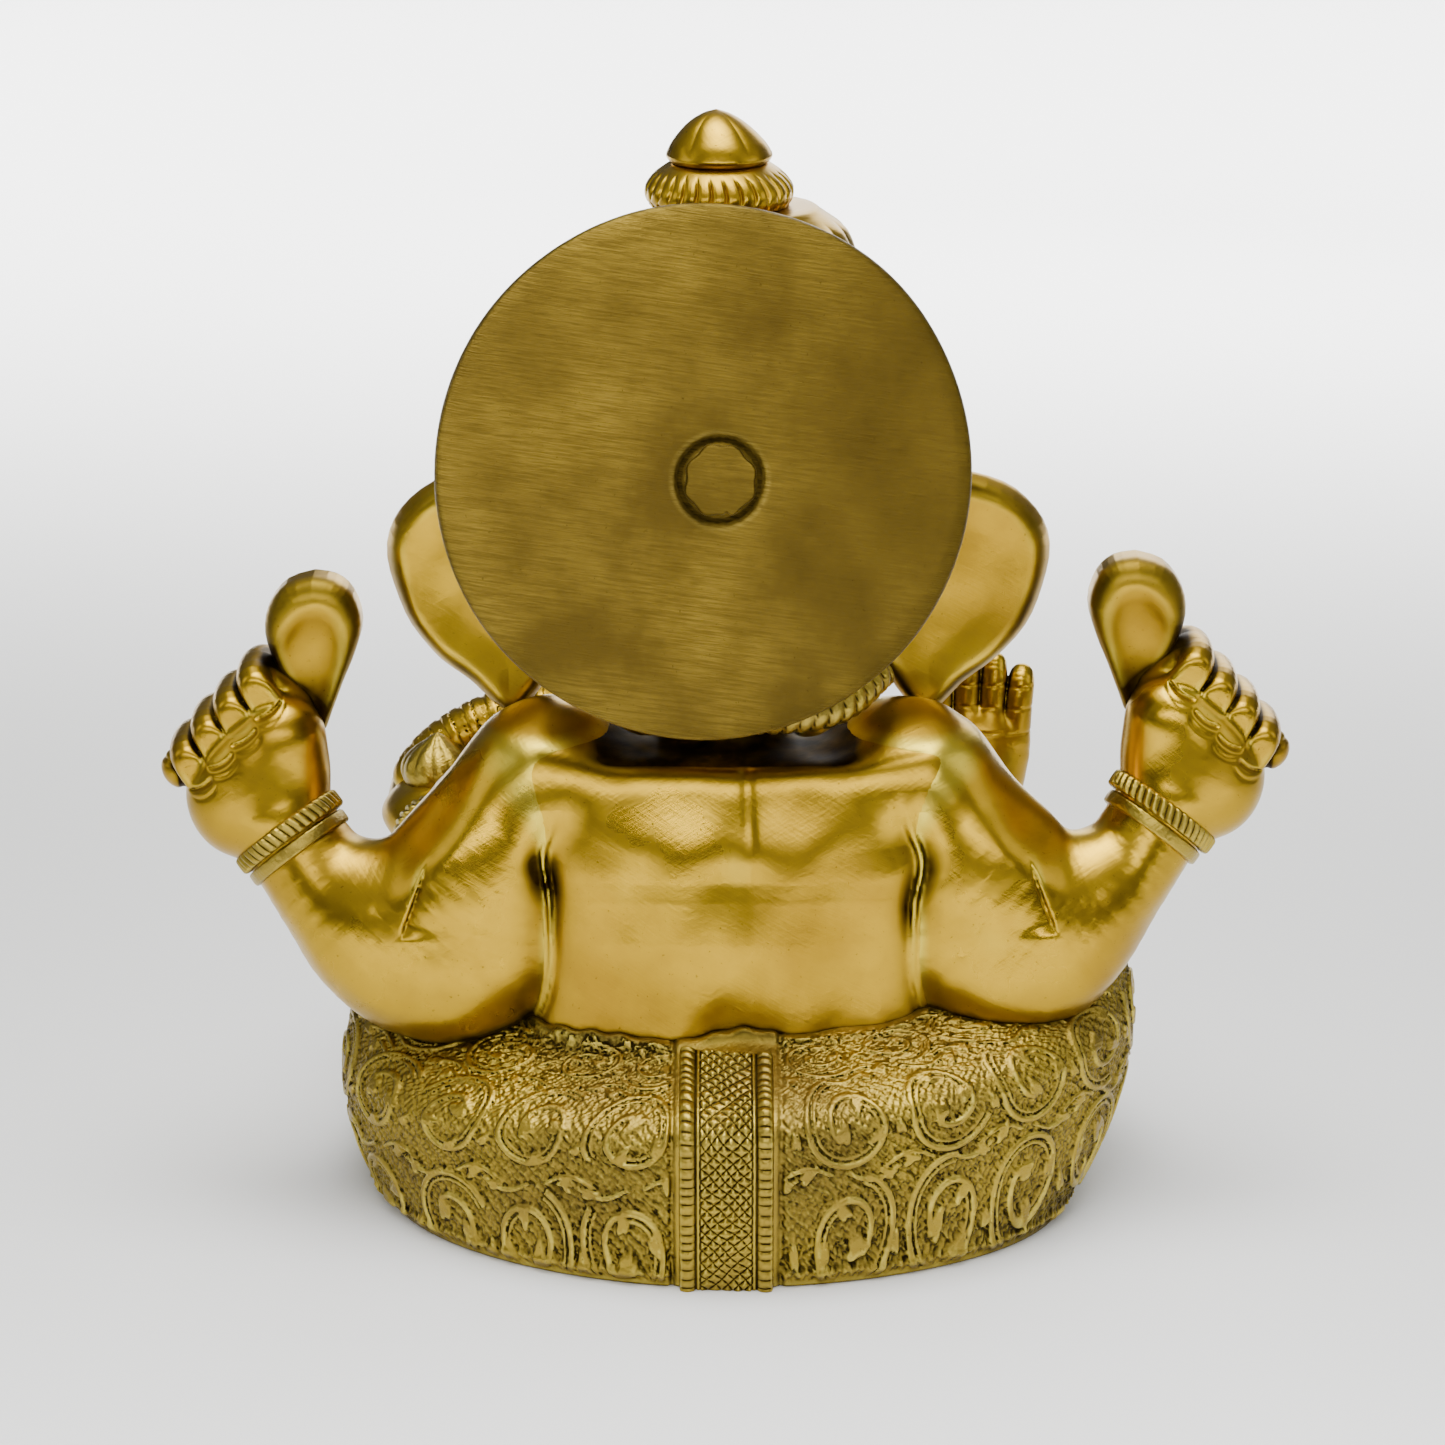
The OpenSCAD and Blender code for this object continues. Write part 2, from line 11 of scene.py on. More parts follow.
import bpy
import numpy as np
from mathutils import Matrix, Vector


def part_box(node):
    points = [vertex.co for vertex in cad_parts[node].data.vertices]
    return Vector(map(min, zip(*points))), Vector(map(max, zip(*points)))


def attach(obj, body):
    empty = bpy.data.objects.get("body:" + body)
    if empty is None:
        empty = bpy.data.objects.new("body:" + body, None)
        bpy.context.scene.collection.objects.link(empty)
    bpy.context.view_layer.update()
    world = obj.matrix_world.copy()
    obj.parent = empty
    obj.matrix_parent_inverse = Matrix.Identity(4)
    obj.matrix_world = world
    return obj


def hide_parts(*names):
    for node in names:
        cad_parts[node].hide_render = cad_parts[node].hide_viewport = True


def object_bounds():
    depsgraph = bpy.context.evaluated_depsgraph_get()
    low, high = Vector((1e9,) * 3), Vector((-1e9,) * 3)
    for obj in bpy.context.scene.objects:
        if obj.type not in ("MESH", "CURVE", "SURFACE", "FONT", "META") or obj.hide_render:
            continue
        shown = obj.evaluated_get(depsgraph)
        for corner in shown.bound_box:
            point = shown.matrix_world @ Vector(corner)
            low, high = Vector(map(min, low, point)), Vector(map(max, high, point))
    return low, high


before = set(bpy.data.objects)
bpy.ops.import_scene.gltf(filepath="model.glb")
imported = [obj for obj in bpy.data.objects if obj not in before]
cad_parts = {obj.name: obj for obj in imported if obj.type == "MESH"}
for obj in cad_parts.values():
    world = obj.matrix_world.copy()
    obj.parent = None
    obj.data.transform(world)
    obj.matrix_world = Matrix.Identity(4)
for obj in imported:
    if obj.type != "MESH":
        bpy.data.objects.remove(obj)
CAD_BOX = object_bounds()

# ---------------------------------------------------------------- scale and place, from the frame

DESIGN_H = 178.0                         # the height at which the numbers below are stated
HEIGHT = CAD_BOX[1][2] - CAD_BOX[0][2]   # the real height, in metres
MM = HEIGHT / DESIGN_H                   # one design millimetre, in metres
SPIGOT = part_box("neck_spigot")           # the spigot's axis is at x = 0, y = 4 in the design frame
MIDDLE_Y = (SPIGOT[0][1] + SPIGOT[1][1]) / 2 / MM - 4.0

GRAIN = 0.46      # size of a sculpting cell, in millimetres
BLOCK = 8                                # cells along each side of a sampling block
POOL = ThreadPoolExecutor(4)             # each share's result depends only on its own points
SHARE_BLOCKS, SHARE_POINTS = 60, 30000   # how much one share holds
LONGEST = 1e9                            # farther than anything in the figure


def to_metres(points):
    """Design millimetres to metres in the frame."""
    return (np.asarray(points, float) + [0, MIDDLE_Y, 0]) * MM


# ---------------------------------------------------------------- distance fields

def vec(*values):
    return np.array(values, float)


def smin(a, b, k):
    """Union with a fillet about k wide."""
    h = np.clip(0.5 + 0.5 * (b - a) / k, 0, 1)
    return b + (a - b) * h - k * h * (1 - h)


def smax(a, b, k):
    return -smin(-a, -b, k)


def step(x, low, high):
    """0 below low, 1 above high, smooth between."""
    t = np.clip((x - low) / (high - low), 0, 1)
    return t * t * (3 - 2 * t)


def turned(q, degrees, axis):
    """Points turned the other way about an axis, so that a shape drawn there is turned by degrees."""
    c, s = math.cos(math.radians(degrees)), math.sin(math.radians(degrees))
    a, b = [(1, 2), (2, 0), (0, 1)][axis]
    out = q.copy()
    out[:, a] = c * q[:, a] + s * q[:, b]
    out[:, b] = -s * q[:, a] + c * q[:, b]
    return out


def egg(p, centre, size, turn=0.0, axis=1):
    """An ellipsoid."""
    q = p - centre
    if turn:
        q = turned(q, turn, axis)
    x, y, z = (q / np.array(size, float)).T
    k0 = np.sqrt(x * x + y * y + z * z)
    k1 = np.sqrt((x / size[0]) ** 2 + (y / size[1]) ** 2 + (z / size[2]) ** 2)
    return k0 * (k0 - 1) / np.maximum(k1, 1e-6)


def curve_points(points, steps):
    """A smooth curve through rows of numbers, with the rows between them filled in."""
    pts = np.array(points, float)
    n = len(pts)
    rows = []
    for i in range(n - 1):
        p0, p1, p2, p3 = pts[max(i - 1, 0)], pts[i], pts[i + 1], pts[min(i + 2, n - 1)]
        for j in range(steps):
            t = j / steps
            rows.append(0.5 * (2 * p1 + (p2 - p0) * t + (2 * p0 - 5 * p1 + 4 * p2 - p3) * t * t
                               + (3 * p1 - p0 - 3 * p2 + p3) * t ** 3))
    rows.append(pts[-1])
    return np.array(rows)


def limb(p, points, steps=5, with_length=False):
    """A rounded limb through rows of x, y, z, radius. Can also return how far along it each point is."""
    path = curve_points(points, steps)
    px, py, pz = np.ascontiguousarray(p.T)
    best = np.full(len(p), LONGEST)
    along = np.zeros(len(p))
    run = 0.0
    for a, b in zip(path[:-1], path[1:]):
        dx, dy, dz, grow = b - a
        length = math.sqrt(dx * dx + dy * dy + dz * dz)
        if length < 1e-6:
            continue
        qx, qy, qz = px - a[0], py - a[1], pz - a[2]
        t = np.clip((qx * dx + qy * dy + qz * dz) / length ** 2, 0, 1)
        qx -= t * dx
        qy -= t * dy
        qz -= t * dz
        f = np.sqrt(qx * qx + qy * qy + qz * qz) - (a[3] + grow * t)
        if with_length:
            along = np.where(f < best, run + t * length, along)
        np.minimum(best, f, out=best)
        run += length
    return (best, along, run) if with_length else best


def waves(p, pitch, seed):
    """Smooth noise between about -1 and 1, from a few plane waves."""
    rng = np.random.default_rng(seed)
    total = np.zeros(len(p))
    for _ in range(7):
        d = rng.normal(size=3)
        d *= 2 * math.pi / pitch / np.linalg.norm(d) * rng.uniform(0.7, 1.4)
        total += np.sin(p @ d + rng.uniform(0, 6.28))
    return total / 3.5


# ---------------------------------------------------------------- from field to mesh

def sample_blocks(field, low, high, grain, reach):
    """The field on a grid, worked out only in the blocks that the surface may pass through."""
    shape = np.maximum(np.ceil((high - low) / (grain * BLOCK)).astype(int), 1)
    index = np.stack(np.meshgrid(*[np.arange(n) for n in shape], indexing="ij"), -1).reshape(-1, 3)
    centres = low + (index + 0.5) * BLOCK * grain
    coarse = field(centres)
    span = BLOCK * grain * 0.87 * reach + 0.6
    values = np.where(coarse < 0, -1.0, 1.0).reshape(shape)
    dense = np.repeat(np.repeat(np.repeat(values, BLOCK, 0), BLOCK, 1), BLOCK, 2).astype(np.float32)
    blocks = dense.reshape(shape[0], BLOCK, shape[1], BLOCK, shape[2], BLOCK)
    near = index[np.abs(coarse) < span]
    cell = np.stack(np.meshgrid(*[np.arange(BLOCK)] * 3, indexing="ij"), -1).reshape(-1, 3)

    def fill(start):
        part = near[start:start + SHARE_BLOCKS]
        points = low + ((part * BLOCK)[:, None, :] + cell[None]) * grain
        found = field(points.reshape(-1, 3)).reshape(len(part), BLOCK, BLOCK, BLOCK)
        blocks[part[:, 0], :, part[:, 1], :, part[:, 2], :] = found

    list(POOL.map(fill, range(0, len(near), SHARE_BLOCKS)))
    return blocks.reshape(dense.shape)


def spread(field, points):
    """The field at many points, shared out over the processor's cores."""
    shares = [points[i:i + SHARE_POINTS] for i in range(0, len(points), SHARE_POINTS)]
    return np.concatenate(list(POOL.map(field, shares)))


def surface_net(dense, low, grain):
    """Corners and four-sided faces of the surface where the sampled field is zero."""
    inside = dense < 0
    corners = [(i, j, k) for i in (0, 1) for j in (0, 1) for k in (0, 1)]
    nx, ny, nz = [n - 1 for n in dense.shape]
    count = np.zeros((nx, ny, nz), np.int8)
    for i, j, k in corners:
        count += inside[i:i + nx, j:j + ny, k:k + nz]
    active = (count > 0) & (count < 8)
    cells = np.argwhere(active)
    number = np.full(active.shape, -1, np.int64)
    number[active] = np.arange(len(cells))
    total, hits = np.zeros((len(cells), 3)), np.zeros(len(cells))
    ci, cj, ck = cells.T
    for a in corners:
        for axis in range(3):
            if a[axis]:
                continue
            b = list(a)
            b[axis] = 1
            fa = dense[ci + a[0], cj + a[1], ck + a[2]].astype(float)
            fb = dense[ci + b[0], cj + b[1], ck + b[2]].astype(float)
            crosses = (fa < 0) != (fb < 0)
            t = np.where(crosses, fa / np.where(crosses, fa - fb, 1), 0)
            place = np.tile(np.array(a, float), (len(cells), 1))
            place[:, axis] += t
            total += place * crosses[:, None]
            hits += crosses
    points = low + (cells + total / hits[:, None]) * grain
    faces = []
    for axis in range(3):
        u, v = (axis + 1) % 3, (axis + 2) % 3
        lo = np.take(inside, range(dense.shape[axis] - 1), axis)
        hi = np.take(inside, range(1, dense.shape[axis]), axis)
        edge = np.argwhere(lo != hi)
        keep = ((edge[:, u] > 0) & (edge[:, v] > 0)
                & (edge[:, u] < dense.shape[u] - 1) & (edge[:, v] < dense.shape[v] - 1))
        edge = edge[keep]
        first = lo[edge[:, 0], edge[:, 1], edge[:, 2]]
        quad = []
        for du, dv in ((0, 0), (1, 0), (1, 1), (0, 1)):
            cell = edge.copy()
            cell[:, u] -= du
            cell[:, v] -= dv
            quad.append(number[cell[:, 0], cell[:, 1], cell[:, 2]])
        quad = np.stack(quad, 1)
        quad[~first] = quad[~first][:, ::-1]
        faces.append(quad)
    return points, np.concatenate(faces)


def slope(field, points, eps=0.05):
    """The field's value and gradient at each point."""
    here = spread(field, points)
    grad = np.stack([spread(field, points + eps * np.eye(3)[i]) - here for i in range(3)], 1) / eps
    return here, grad


def settle(field, points, grain):
    """Moves net points onto the surface itself, so that smooth metal is smooth. Also returns the normals."""
    here, grad = slope(field, points)
    size = np.maximum((grad ** 2).sum(1), 0.2)
    for again in range(2):
        if again:
            here = spread(field, points)
        move = -(here / size)[:, None] * grad
        far = np.maximum(np.linalg.norm(move, axis=1) / (0.7 * grain), 1)
        points = points + move / far[:, None]
    return points, grad / np.maximum(np.linalg.norm(grad, axis=1), 1e-6)[:, None]


def new_mesh(name, points, *face_sets):
    """A mesh object from design millimetres and arrays of faces, each array with one number of corners."""
    mesh = bpy.data.meshes.new(name)
    corners = np.concatenate([np.asarray(faces).ravel() for faces in face_sets]).astype(np.int32)
    sides = np.concatenate([np.full(len(faces), np.asarray(faces).shape[1]) for faces in face_sets])
    mesh.vertices.add(len(points))
    mesh.vertices.foreach_set("co", to_metres(points).astype(np.float32).ravel())
    mesh.loops.add(len(corners))
    mesh.loops.foreach_set("vertex_index", corners)
    mesh.polygons.add(len(sides))
    mesh.polygons.foreach_set("loop_start", np.concatenate([[0], np.cumsum(sides)[:-1]]).astype(np.int32))
    mesh.polygons.foreach_set("use_smooth", np.ones(len(sides), bool))
    mesh.update(calc_edges=True)
    mesh.validate()
    piece = bpy.data.objects.new(name, mesh)
    bpy.context.collection.objects.link(piece)
    return piece


def set_attribute(piece, name, values):
    data = piece.data.attributes.new(name, "FLOAT", "POINT")
    data.data.foreach_set("value", np.asarray(values, np.float32))


def recess_of(field, points, normals):
    """How deep in a hollow each point lies, from 0 in the open to 1 in a tight groove. It looks out as far
    as 10 mm, so where another part closes round the surface the brass gets painted shade from it.
    """
    total = np.zeros(len(points))
    for reach, share in ((0.7, 0.4), (1.8, 0.25), (4.5, 0.2), (10.0, 0.3)):
        open_way = spread(field, points + normals * reach)
        total += share * np.clip(1 - open_way / reach, 0, 1.2)
    return np.clip(total, 0, 1)


def worn_of(field, points, normals):
    """How sharply the surface stands out, from 0 on flats to 1 on thin edges."""
    depth = spread(field, points - normals * 1.6)
    return np.clip((depth + 1.6) / 1.1, 0, 1)


def finish_piece(piece, node, material):
    piece.data.materials.append(material)
    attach(piece, "root")
    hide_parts(node)
    return piece


def sculpt(name, field, low, high, around=None, grain=None, reach=1.3, grime_and_shade=None):
    """A closed mesh of a field, with its recess and wear measured against the pieces around it."""
    grain = (grain or 1.0) * GRAIN
    low, high = np.array(low, float) - 1.5, np.array(high, float) + 1.5
    points, faces = surface_net(sample_blocks(field, low, high, grain, reach), low, grain)
    points, normals = settle(field, points, grain)
    piece = new_mesh(name, points, faces)
    piece.data.normals_split_custom_set_from_vertices(normals)
    recess = recess_of(around or field, points, normals)
    # extra recess from the caller: real dark skin on some pieces, painted shadow under the disc on the torso
    if grime_and_shade is not None:
        recess = np.clip(recess + grime_and_shade(points), 0, 1)
    set_attribute(piece, "recess", recess)
    set_attribute(piece, "wear", worn_of(field, points, normals))
    return piece


# ---------------------------------------------------------------- the body's fields

TORSO_X = -2.0
SPINE_X = -4.5
WAIST_Z = 35.4
TORSO_FOOT = 31.5                        # the torso casting ends here, inside the lap


def torso_raw(p):
    f = egg(p, vec(-1, -13, 47), (31.5, 30, 24))
    f = smin(f, egg(p, vec(TORSO_X, 3, 47), (31, 24, 26)), 6)
    for side in (-1, 1):
        x = TORSO_X + side * 8.5
        f = smin(f, limb(p, [[x, 14.2, 30, 13.4], [x, 14.4, 50, 13.2], [x, 14.1, 60, 12.8]], 2), 4)
        x = TORSO_X + side * 21
        f = smin(f, limb(p, [[x, 12.0, 30, 13.6], [x, 12.4, 50, 13.2], [x, 12.4, 60, 12.8]], 2), 4)
        f = smin(f, egg(p, vec(-1 + side * 12, -5, 68), (13, 12.5, 10)), 6)
    f = smin(f, limb(p, [[-1, 0.5, 74, 10.5], [0, 0.5, 95, 12]], 1), 3)
    z = p[:, 2]
    yoke = smax(limb(p, YOKE), (p[:, 1] - 13.6) * 0.927 + (z - 69) * 0.375 - 10.8, 1.2)
    yoke = smax(yoke, (p[:, 1] - 13.6) * 0.988 + (z - 69) * 0.156 - 10.6, 1.2)
    f = smin(f, smax(yoke, z - 78.4, 2.0), 4.0)
    spine = np.exp(-((p[:, 0] - SPINE_X - 0.04 * (z - 60)) / 1.2) ** 2) * step(p[:, 1], 8, 14)
    f = f + spine * (0.1 + 0.32 * step(z, 63, 70) * (1 - step(z, 77, 82)))
    navel = egg(p, vec(-1, -43.5, 50), (2.4, 3, 2.8))
    return smax(f, -navel, 1.6)


# the rounded bar of muscle that runs across the upper back from arm to arm
YOKE = [[27, 10, 71, 11.2], [18, 12.4, 69.6, 11.4], [9, 13.5, 69, 11.5], [-4.5, 13.8, 68.6, 11.3],
        [-13, 13.5, 69.2, 11.5], [-22, 12.4, 70.2, 11.4], [-29, 10, 72, 11.2]]
# the upper arm's ridge runs out and down to the elbow, with the arm's broad inner side below it
REAR_RIDGE = [[29, 8.5, 71.5, 12.2], [35, 11.5, 65, 12.4], [41.5, 13.8, 58.6, 12.2], [48, 14, 52, 11.6],
              [54, 13, 46.5, 10.8]]
REAR_INNER = [[33.5, 8, 60, 10.5], [36.2, 10.5, 52, 13.6], [38.6, 11.5, 44.8, 14.4], [43, 12, 42.8, 13.2]]
REAR_FORE = [[45, 13.5, 42, 11.4], [51, 13.6, 43, 10.8], [60, 12.5, 50.3, 9.4], [68, 9, 60, 8.4],
             [70, 8, 64, 8.0]]
REAR_WEB = [[45, 14, 52.5, 8.4], [51, 14, 51.4, 9.2], [57, 13, 52.5, 8.6]]
SHOULDER_FLAT = vec(0.60, 0.5, 0.62)   # the way the filed flat on the outside of the upper arm faces
FRONT_LEFT = [[27, 4, 74, 9.6], [38, -3, 63, 9.4], [45, -12, 52, 8.6], [47.6, -24, 46.5, 7.4],
              [49, -34, 46.5, 6.2]]
FRONT_RIGHT = [[-28, 4, 74, 9.6], [-38, -5, 63, 9.2], [-43.5, -15, 51, 8.6], [-45, -26, 47.6, 7.4],
               [-45.5, -34, 52, 6.2]]


def bent_arm(p, side, lift, wide):
    """An arm bent at the elbow: a filed outer flat, a webbed bend, and one sharp crease cut down it."""
    q = np.stack([side * p[:, 0] - wide * (1 - step(side * p[:, 0], 52, 70)), p[:, 1],
                  p[:, 2] - lift * step(side * p[:, 0], 44, 70)], 1)
    upper = limb(q, REAR_RIDGE)
    flat = (q - vec(41.5, 13.8, 58.6)) @ SHOULDER_FLAT - 10.7
    upper = smin(smax(upper, flat, 1.2), limb(q, REAR_INNER), 6.0)
    f = smin(upper, limb(q, REAR_FORE), 6.0)
    f = smin(f, limb(q, REAR_WEB), 4.0)
    across = 50.2 - 0.36 * (q[:, 2] - 52.2) - q[:, 0]
    fold = np.where(across > 0, np.exp(-across / 3.0), np.exp(-(across / 0.45) ** 2))
    span = step(q[:, 2], 50.5, 53) * (1 - step(q[:, 2], 58, 64)) * step(q[:, 1], 8, 15)
    return f + 1.1 * fold * span


def rear_left_arm_raw(p):
    return bent_arm(p, 1, 0.0, 0.0)


def rear_right_arm_raw(p):
    return bent_arm(p, -1, 3.0, 1.9)


def front_left_arm_raw(p):
    return limb(p, FRONT_LEFT)


def front_right_arm_raw(p):
    return limb(p, FRONT_RIGHT)


def head_raw(p):
    f = egg(p, vec(0, -5, 117), (25.5, 23, 22))
    f = smin(f, limb(p, [[0, 3, 108, 20], [0, 4, 96, 16]], 1), 5)
    f = smin(f, egg(p, vec(0, -23, 110), (13.5, 13, 15)), 5)
    for side in (-1, 1):
        f = smin(f, egg(p, vec(side * 8.5, -18, 122), (13, 11, 13)), 4)
        f = smin(f, egg(p, vec(side * 13, -16, 105.5), (12.5, 13, 11.5)), 5)
        f = smin(f, egg(p, vec(side * 11.5, -27.5, 98.5), (6, 8, 5.5)), 3)
    f = smin(f, egg(p, vec(0, -25, 93), (7, 8, 6)), 3)
    return f - face_relief(p)


def face_relief(p):
    """Eyes, brows and the forehead's leaf mark."""
    out = np.zeros(len(p))
    front = step(-p[:, 1], 14, 20)
    for side in (-1, 1):
        x = side * p[:, 0] - 14.8
        z = p[:, 2] - 113.6 - 0.12 * x
        lid = np.abs(z) - 2.5 * (1 - np.clip(x / 5.2, -1, 1) ** 2)
        inside_x = 1 - step(np.abs(x), 4.6, 5.4)
        ball = 1 - step((x / 4.4) ** 2 + (z / 2.2) ** 2, 0.6, 1.1)
        out += front * inside_x * (0.55 * np.exp(-(lid / 0.42) ** 2))
        out += front * (0.5 * ball - 0.35 * np.exp(-((np.hypot(x, z) - 1.25) / 0.3) ** 2))
        brow = z - 4.6 + 0.1 * x ** 2 * 0.35
        out += front * 0.5 * np.exp(-(brow / 0.6) ** 2) * (1 - step(np.abs(x), 5.5, 7))
        crease = z + 4.2 - 0.05 * x ** 2
        out -= front * 0.3 * np.exp(-(crease / 0.4) ** 2) * (1 - step(np.abs(x), 3.5, 6))
    z = p[:, 2] - 120
    leaf = np.abs(p[:, 0]) - 1.9 * np.sqrt(np.clip(1 - (z / 6) ** 2, 0, 1)) * (1 - 0.1 * z)
    out += step(-p[:, 1], 20, 24) * 0.5 * (1 - step(leaf, -0.7, 0.2)) * (np.abs(z) < 6.5)
    return out


TRUNK = [[0, -30, 108, 11.5], [0, -38.5, 98, 10], [0.5, -43.5, 86, 8.6], [6, -47, 74.5, 7.6],
         [16, -50.5, 67.5, 6.9], [28, -52, 63.8, 6.3], [39, -51.5, 62, 5.7], [48, -50, 58, 5.1],
         [53.6, -48.6, 53, 4.6]]


def trunk_raw(p):
    f, along, run = limb(p, TRUNK, 8, with_length=True)
    ring = 0.5 + 0.5 * np.cos(2 * math.pi * along / (2.6 + 1.6 * (1 - along / run)))
    f = f + 0.38 * ring ** 5 * step(along, 8, 16)
    tip = vec(*TRUNK[-1][:3]) + vec(2.9, 0.6, -3.5)
    return smax(f, -egg(p, tip, (2.4, 2, 2.4)), 0.8)


EAR_OUTLINE = [[15, 113.5], [27, 119], [38, 119.5], [46.5, 117.2], [52, 112.6], [54.4, 106.6], [53.4, 99.5],
               [50.6, 93], [45.8, 87.6], [40.5, 83.6], [36, 79.5], [31.5, 80.5], [25, 90], [17, 98]]


def ear_raw(p, side, shift=0.0):
    """A broad, slightly cupped ear with a rolled rim."""
    outline = curve_points(EAR_OUTLINE + EAR_OUTLINE[:1], 3)[:-1]
    x, z = side * p[:, 0] - shift, p[:, 2]
    flat = polygon_distance(x, z, outline)
    sheet = -4.5 - 0.0022 * (x - 22) ** 2 + 0.0028 * (z - 100) ** 2 - 0.012 * (z - 100)
    y = p[:, 1] - sheet
    thick = 2.3 + 0.5 * step(flat, -9, -2)
    body = smax(flat + 1.0, np.abs(y) - thick, 2.6)
    rim = np.hypot(flat + 2.9, y + 1.5) - 2.8
    body = smin(body, rim, 1.2)
    ribs = np.exp(-((flat + 8.5) / 1.0) ** 2) * step(-y, 0.5, 2)
    return body + 0.5 * ribs


def polygon_distance(x, z, outline):
    """Signed distance to a closed outline in a plane."""
    best = np.full(len(x), LONGEST)
    inside = np.zeros(len(x), bool)
    for (ax, az), (bx, bz) in zip(outline, np.roll(outline, -1, 0)):
        ex, ez = bx - ax, bz - az
        t = np.clip(((x - ax) * ex + (z - az) * ez) / (ex * ex + ez * ez + 1e-9), 0, 1)
        best = np.minimum(best, (x - ax - t * ex) ** 2 + (z - az - t * ez) ** 2)
        if az != bz:
            crosses = ((az > z) != (bz > z)) & (x < ax + ex * (z - az) / ez)
            inside ^= crosses
    return np.where(inside, -1, 1) * np.sqrt(best)


def left_ear_raw(p):
    return ear_raw(p, 1)


def right_ear_raw(p):
    return ear_raw(p, -1, -1.4)


# ---------------------------------------------------------------- lap and its engraving

LAP_X = -2.5
LAP_Y = 0.5
LAP_W, LAP_D = 65.3, 47.6              # half-width and half-depth at the widest level
LAP_ROUND = 20.5                       # radius of the cloth's rolled edge
LAP_Z = 25.0                           # height of the widest level
LAP_LEAN = 0.08                        # how much higher that level lies towards the right knee
LAP_POWER = 2.06                       # 2 is an ellipse, more is squarer
SASH_X = -0.6
SASH_HALF = 7.6
SASH_TOP = 34.0


def lap_plan(p):
    """Distance outside the inner oval, and the oval's side-to-back measure."""
    x, y = p[:, 0] - LAP_X, p[:, 1] - LAP_Y
    a, b = LAP_W - LAP_ROUND, LAP_D - LAP_ROUND
    rho = ((np.abs(x) / a) ** LAP_POWER + (np.abs(y) / b) ** LAP_POWER) ** (1 / LAP_POWER)
    return np.hypot(x, y) * (1 - 1 / np.maximum(rho, 1e-3))


def lap_rise(p):
    return p[:, 2] - LAP_Z + LAP_LEAN * p[:, 0]


def lap_level(p):
    """Height from the widest level, as the rolled edge sees it: lower and straighter at the back."""
    z = lap_rise(p)
    back = step(p[:, 1], 0, 40)
    low = 0.65 - 0.29 * back + 0.10 * step(p[:, 0], 10, 55)
    return np.where(z < 0, z * low, z * (0.9 + 1.9 * back))


LEFT_SHIN = [[43.5, -16, 20.5, 18.2], [32, -32, 17, 15], [16, -41, 17.5, 11], [2, -43.5, 19, 8.6],
             [-3, -44, 20, 7.8]]
RIGHT_SHIN = [[-49, -13, 26.5, 17.8], [-36, -33, 16.5, 15], [-18, -43, 11, 11], [0, -46, 9.6, 9],
              [6, -46.5, 9.4, 8.2]]


def lap_raw(p):
    flat = lap_plan(p)
    level = lap_level(p)
    bowl = np.hypot(np.maximum(flat, 0), level) + np.minimum(np.maximum(flat, np.abs(level)), 0) - LAP_ROUND
    f = smin(bowl, egg(p, vec(-1.5, 6, 21), (46, 33, 17)), 7)
    f = smin(f, limb(p, RIGHT_SHIN), 2.5)
    f = smin(f, limb(p, LEFT_SHIN), 2.5)
    x = p[:, 0] - SPINE_X
    edge = WAIST_Z + 0.9 * np.exp(-(x / 6) ** 2) - 1.5 * np.exp(-((x - 14) / 7) ** 2)
    edge = edge - 1.2 * np.exp(-((x + 13) / 7) ** 2) + 2.0 * step(-x, 18, 30) + 0.25 * np.sin(x * 1.3)
    band = smax(torso_raw(p) - 1.3, p[:, 2] - edge, 1.2)
    f = smin(f, band, 2.0)
    return f


def lap_arc():
    """A table of the oval's length from the middle of the back, for laying out the engraving."""
    t = np.linspace(-math.pi, math.pi, 721)
    s, c = np.sin(t), np.cos(t)
    x = LAP_W * np.sign(s) * np.abs(s) ** (2 / LAP_POWER)
    y = LAP_D * np.sign(c) * np.abs(c) ** (2 / LAP_POWER)
    run = np.concatenate([[0], np.cumsum(np.hypot(np.diff(x), np.diff(y)))])
    return t, run - run[360]


ARC_T, ARC_S = lap_arc()


def lap_uv(p):
    """Place on the cloth: along the oval from the middle of the back, and up the wall and over."""
    x, y = (p[:, 0] - LAP_X) / LAP_W, (p[:, 1] - LAP_Y) / LAP_D
    half = LAP_POWER / 2
    t = np.arctan2(np.sign(x) * np.abs(x) ** half, np.sign(y) * np.abs(y) ** half)
    u = np.interp(t, ARC_T, ARC_S)
    flat, rise = lap_plan(p), lap_rise(p)
    v = LAP_Z + LAP_ROUND * np.arctan2(rise, np.maximum(flat, 1e-3)) + np.maximum(-flat, 0)
    return u, v


def raised_line(away, half):
    """A round-topped raised line with a cut groove down each side."""
    top = np.sqrt(np.clip(1 - (away / half) ** 2, 0, 1))
    return 0.62 * top - 0.22 * np.exp(-((away - half - 0.25) / 0.3) ** 2)


def leaf(x, y, turn, length, width):
    """A plump lobed leaf, as a distance from its outline."""
    c, s = np.cos(turn), np.sin(turn)
    a, b = (c * x + s * y) / length, (-s * x + c * y) / width
    ang = np.arctan2(b, a)
    return (np.hypot(a, b) - 1 - 0.16 * np.cos(3 * ang + 0.6) - 0.07 * np.cos(5 * ang)) * width


